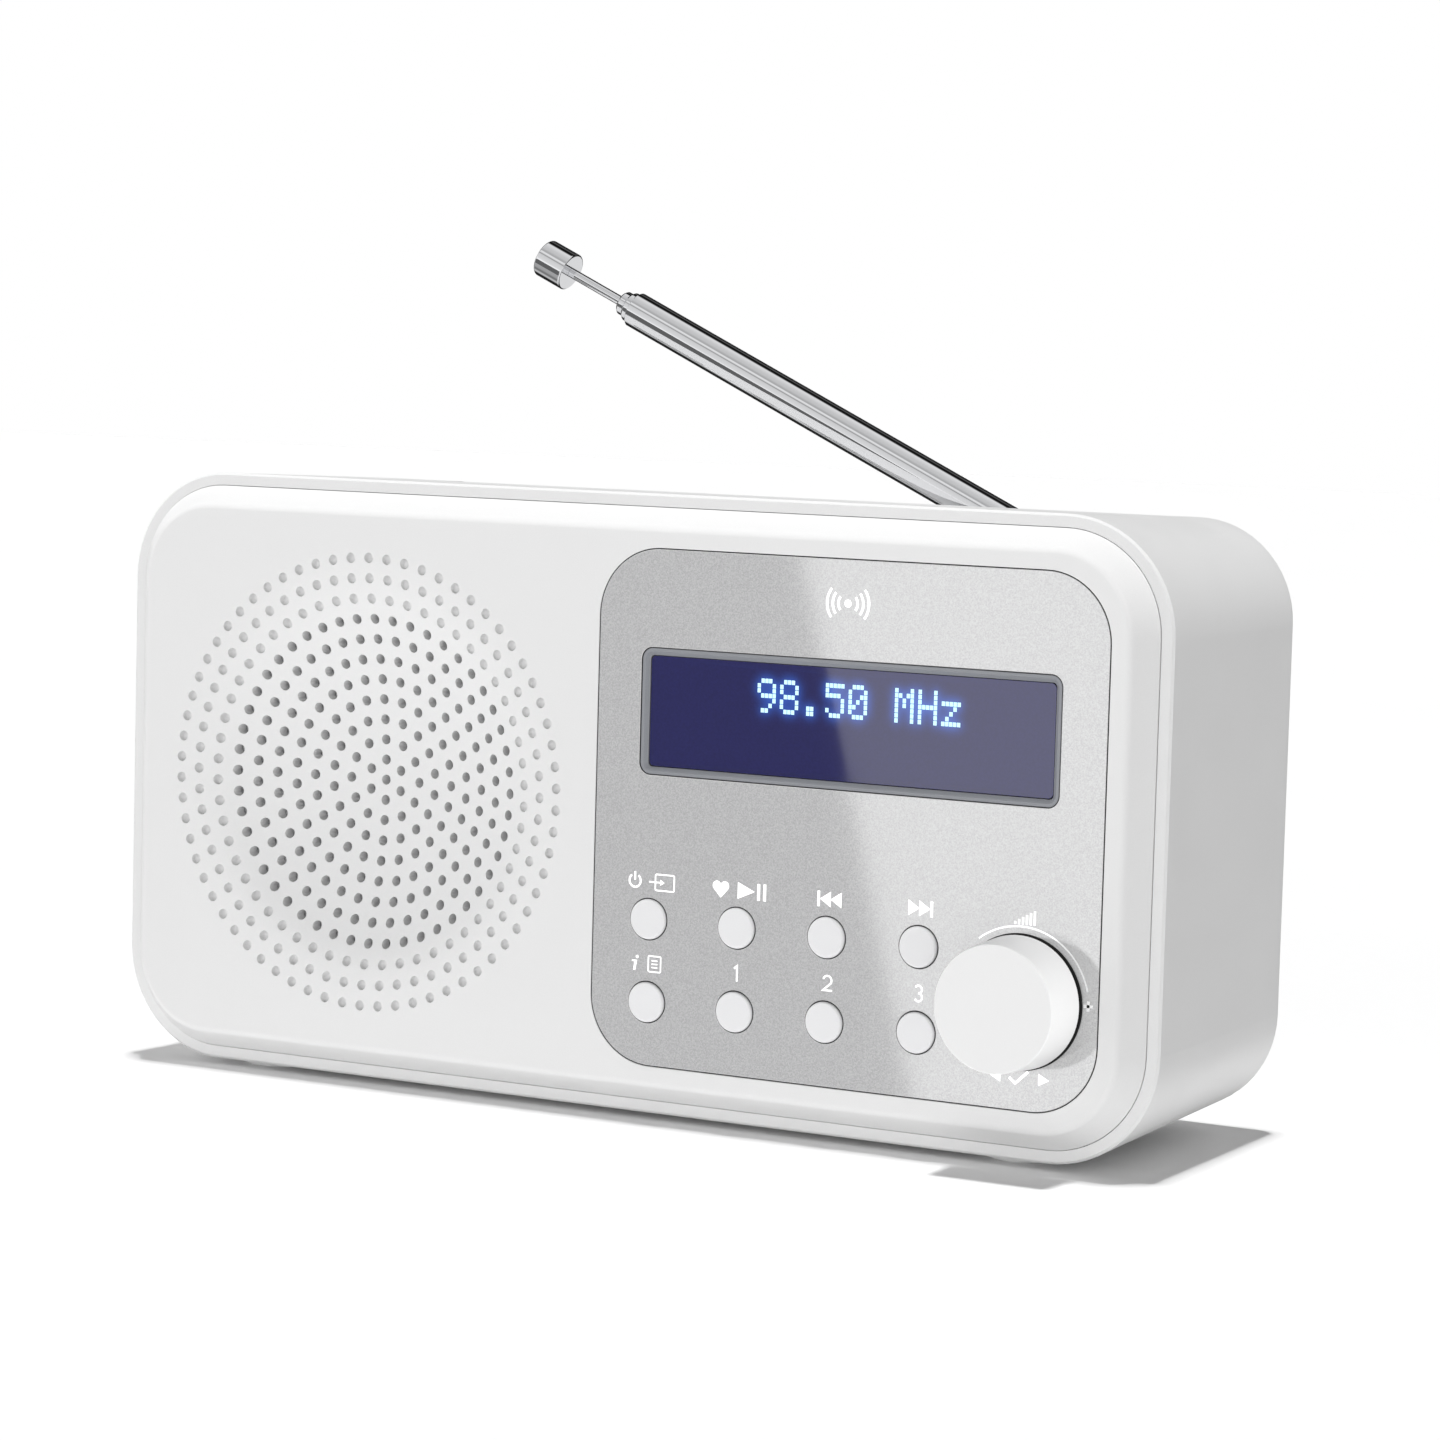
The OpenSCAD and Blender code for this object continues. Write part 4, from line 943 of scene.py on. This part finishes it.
CAMERA_AZIMUTH = math.radians(29.28)
CAMERA_ELEVATION = math.radians(5.115)
CAMERA_ROLL = math.radians(1.55)
CAMERA_DISTANCE = 0.701
CAMERA_AIM = (21.4, 0, 15.1)
CAMERA_SENSOR = 36
CAMERA_LENS = 110
TO_CAMERA = Vector((
    math.sin(CAMERA_AZIMUTH) * math.cos(CAMERA_ELEVATION),
    -math.cos(CAMERA_AZIMUTH) * math.cos(CAMERA_ELEVATION),
    math.sin(CAMERA_ELEVATION),
))

# Light that falls on matt surfaces: the horizon on its bright and its dim side, and how it fades upwards
DIM_SIDE = (0.87, 0.5, 0)
BRIGHT_LIGHT = 2.8
DIM_LIGHT = 0.69
FADE_UPWARDS = 2.3
OVERHEAD_LIGHT = 2.85
OVERHEAD_SPREAD = math.radians(5)
OVERHEAD_LEAN = math.radians(0.7)

# Light on the plate from the front left, in which the knob stands
KEY_WAY = (-0.49, -0.87, -0.02)
KEY_LIGHT = 2.9
KEY_SPREAD = math.radians(2.5)

# Light on the knob alone, from the upper right
KNOB_WAY = (0.8, 0, 0.6)
KNOB_LIGHT = 1.6

# What gloss sees of the studio: degrees round the aerial, from 0 on the side that the picture shows
# to 90 below it, and the light there
STRIPS = (
    (-180, 0.9), (-174, 0.9), (-172, 0.03), (-127, 0.03), (-120, 0.16), (-113, 0.01), (-93, 0.01),
    (-84, 0.95), (-56, 0.74), (-42, 0.7), (-30, 0.52), (-25, 0.55), (-20, 1.05), (-13, 0.9), (-7, 0.35),
    (-1, 0.8), (24, 0.9), (30, 1.2), (38, 1.2), (44, 0.66), (56, 0.48), (80, 0.45), (94, 0.2),
    (102, 0.3), (111, 0.7), (121, 0.5), (126, 0.02), (172, 0.02), (174, 0.9), (180, 0.9),
)

# Two cards side by side in front: the plane they stand in, their sides as (x, z) foot and head, and
# their light. The edge between them crosses the reflection in the plate.
CARD_Y = -0.9
CARD_EDGE = ((-0.332, -0.35), (-0.456, 0.12))
GREY_SIDE = ((-1.6, -0.35), (-1.6, 0.12))
WHITE_SIDE = ((0.1, -0.35), (0.1, 0.12))
GREY_CARD = 0.15
WHITE_CARD = 1.03
FLOOR_SIZE = 6.0
FLOOR_CELLS = 24


def floor():
    """A white floor, which the radio's gloss looks through to the studio below the horizon."""
    mesh = bpy.data.meshes.new("floor")
    row = FLOOR_CELLS + 1
    places = [FLOOR_SIZE * (i / FLOOR_CELLS - 0.5) for i in range(row)]
    points = [(x, y, 0.0) for y in places for x in places]
    corners = [j * row + i for j in range(FLOOR_CELLS) for i in range(FLOOR_CELLS)]
    mesh.from_pydata(points, [], [(k, k + 1, k + row + 1, k + row) for k in corners])
    mesh.materials.append(material("floor_white", (0.89, 0.89, 0.89), 0.8, grain=3, contrast=0.003, bump=0))
    made = bpy.data.objects.new("floor", mesh)
    made.visible_glossy = False
    bpy.context.scene.collection.objects.link(made)


def studio_card(name, sides, light):
    """A glowing card in front of the radio, which only gloss sees."""
    data = bpy.data.meshes.new(name)
    (left_foot, left_head), (right_foot, right_head) = sides
    corners = (left_foot, right_foot, right_head, left_head)
    data.from_pydata([(x, CARD_Y, z) for x, z in corners], [], [(0, 1, 2, 3)])
    glow = bpy.data.materials.new(name)
    glow.use_nodes = True
    glow.cycles.emission_sampling = "NONE"
    tree = glow.node_tree
    tree.nodes.clear()
    lamp = tree.nodes.new("ShaderNodeEmission")
    lamp.inputs["Strength"].default_value = light
    out = tree.nodes.new("ShaderNodeOutputMaterial")
    tree.links.new(lamp.outputs["Emission"], out.inputs["Surface"])
    data.materials.append(glow)
    made = bpy.data.objects.new(name, data)
    for ray in ("camera", "diffuse", "transmission", "volume_scatter", "shadow"):
        setattr(made, "visible_" + ray, False)
    bpy.context.scene.collection.objects.link(made)


def far_light(name, light, spread, way):
    """A distant light in the direction of way, which gloss doesn't see."""
    data = bpy.data.lights.new(name, "SUN")
    data.energy = light
    data.angle = spread
    made = bpy.data.objects.new(name, data)
    made.rotation_mode = "QUATERNION"
    made.rotation_quaternion = Vector(way).to_track_quat("Z", "Y")
    made.visible_glossy = False
    bpy.context.scene.collection.objects.link(made)
    return made


def group(name, *pieces):
    """A collection of pieces, for a light to be linked to."""
    made = bpy.data.collections.new(name)
    for piece in pieces:
        made.objects.link(piece)
    return made


def lights(plate, print_on_plate, dial):
    """Lights above all but the knob, on the plate where only the knob shades it, and on the knob."""
    up = (0, math.sin(OVERHEAD_LEAN), math.cos(OVERHEAD_LEAN))
    above = far_light("overhead", OVERHEAD_LIGHT, OVERHEAD_SPREAD, up)
    unlit = group("not_lit_from_above", dial)
    unlit.collection_objects[0].light_linking.link_state = "EXCLUDE"
    above.light_linking.receiver_collection = unlit
    key_light = far_light("plate_light", KEY_LIGHT, KEY_SPREAD, KEY_WAY)
    key_light.light_linking.receiver_collection = group("lit_plate", plate, print_on_plate)
    key_light.light_linking.blocker_collection = group("plate_shade", dial)
    knob_light = far_light("knob_light", KNOB_LIGHT, KEY_SPREAD, KNOB_WAY)
    knob_light.light_linking.receiver_collection = group("lit_knob", dial)


def dot_with(tree, way, axis):
    """How far a direction points along an axis, as a node output."""
    node = tree.nodes.new("ShaderNodeVectorMath")
    node.operation = "DOT_PRODUCT"
    node.inputs[1].default_value = axis
    tree.links.new(way, node.inputs[0])
    return node.outputs["Value"]


def arithmetic(tree, operation, a, b):
    """A Math node on two node outputs or numbers."""
    node = tree.nodes.new("ShaderNodeMath")
    node.operation = operation
    for socket, value in zip(node.inputs, (a, b)):
        if isinstance(value, (int, float)):
            socket.default_value = value
        else:
            tree.links.new(value, socket)
    return node.outputs["Value"]


def choose(tree, flag, yes, no):
    """One of two values, by a 0 or 1 node output."""
    node = tree.nodes.new("ShaderNodeMix")
    node.data_type = "FLOAT"
    tree.links.new(flag, node.inputs["Factor"])
    for name, value in (("A", no), ("B", yes)):
        if isinstance(value, float):
            node.inputs[name].default_value = value
        else:
            tree.links.new(value, node.inputs[name])
    return node.outputs["Result"]


def horizon_light(tree, way):
    """Light that is dimmer towards one side of the horizon and fades upwards."""
    fade = tree.nodes.new("ShaderNodeMapRange")
    limits = (("From Min", -0.3), ("From Max", 1), ("To Min", BRIGHT_LIGHT), ("To Max", DIM_LIGHT))
    for name, number in limits:
        fade.inputs[name].default_value = number
    tree.links.new(dot_with(tree, way, DIM_SIDE), fade.inputs["Value"])
    down = arithmetic(tree, "SUBTRACT", 1.0, dot_with(tree, way, (0, 0, 1)))
    height = arithmetic(tree, "POWER", down, FADE_UPWARDS)
    return arithmetic(tree, "MULTIPLY", fade.outputs["Result"], height)


def strip_light(tree, way):
    """The strips of light and shade that lie along the aerial."""
    face_on = (TO_CAMERA - ALONG * TO_CAMERA.dot(ALONG)).normalized()
    below = face_on.cross(ALONG)
    angle = arithmetic(tree, "ARCTAN2", dot_with(tree, way, below), dot_with(tree, way, face_on))
    turn = arithmetic(tree, "ADD", arithmetic(tree, "DIVIDE", angle, math.tau), 0.5)
    ramp = tree.nodes.new("ShaderNodeValToRGB")
    stops = ramp.color_ramp.elements
    for degrees, _ in STRIPS[1:-1]:
        stops.new(degrees / 360 + 0.5)
    for stop, (degrees, light) in zip(stops, STRIPS):
        stop.position = degrees / 360 + 0.5
        stop.color = (light, light, light, 1)
    tree.links.new(turn, ramp.inputs["Fac"])
    return ramp.outputs["Color"]


def studio_world():
    """A soft white studio: strips for gloss, the horizon's light for matt surfaces, white for the camera."""
    world = bpy.data.worlds.new("studio")
    bpy.context.scene.world = world
    world.use_nodes = True
    world.cycles.sampling_method = "NONE"
    tree = world.node_tree
    tree.nodes.clear()
    way = tree.nodes.new("ShaderNodeTexCoord").outputs["Generated"]
    soft = horizon_light(tree, way)
    strips = strip_light(tree, way)
    seen = tree.nodes.new("ShaderNodeLightPath")
    lit = choose(tree, seen.outputs["Is Glossy Ray"], strips, soft)
    strength = choose(tree, seen.outputs["Is Camera Ray"], 1.0, lit)
    back = tree.nodes.new("ShaderNodeBackground")
    back.inputs["Color"].default_value = (1, 1, 1, 1)
    tree.links.new(strength, back.inputs["Strength"])
    out = tree.nodes.new("ShaderNodeOutputWorld")
    tree.links.new(back.outputs["Background"], out.inputs["Surface"])


def camera():
    """The view from the right of the front, a little above the radio."""
    data = bpy.data.cameras.new("camera")
    data.sensor_width = CAMERA_SENSOR
    data.lens = CAMERA_LENS
    made = bpy.data.objects.new("camera", data)
    made.location = CASE @ Vector(CAMERA_AIM) + TO_CAMERA * CAMERA_DISTANCE
    made.rotation_mode = "QUATERNION"
    roll = Matrix.Rotation(CAMERA_ROLL, 4, "Z").to_quaternion()
    made.rotation_quaternion = (-TO_CAMERA).to_track_quat("-Z", "Y") @ roll
    bpy.context.scene.collection.objects.link(made)
    bpy.context.scene.camera = made


camera()
front_shell()
plate_piece = control_plate()
# Black rings of painted shade in the hairline gaps and under the knob
painted_gap_shade()
display_frame()
display_window()
display_dots()
legends_piece = legends()
for key in KEYS:
    key_cap(key)
knob_piece = knob()
telescope()

floor()
studio_card("grey_card", (GREY_SIDE, CARD_EDGE), GREY_CARD)
studio_card("white_card", (CARD_EDGE, WHITE_SIDE), WHITE_CARD)
lights(plate_piece, legends_piece, knob_piece)
studio_world()
bpy.context.scene.view_settings.view_transform = "Standard"
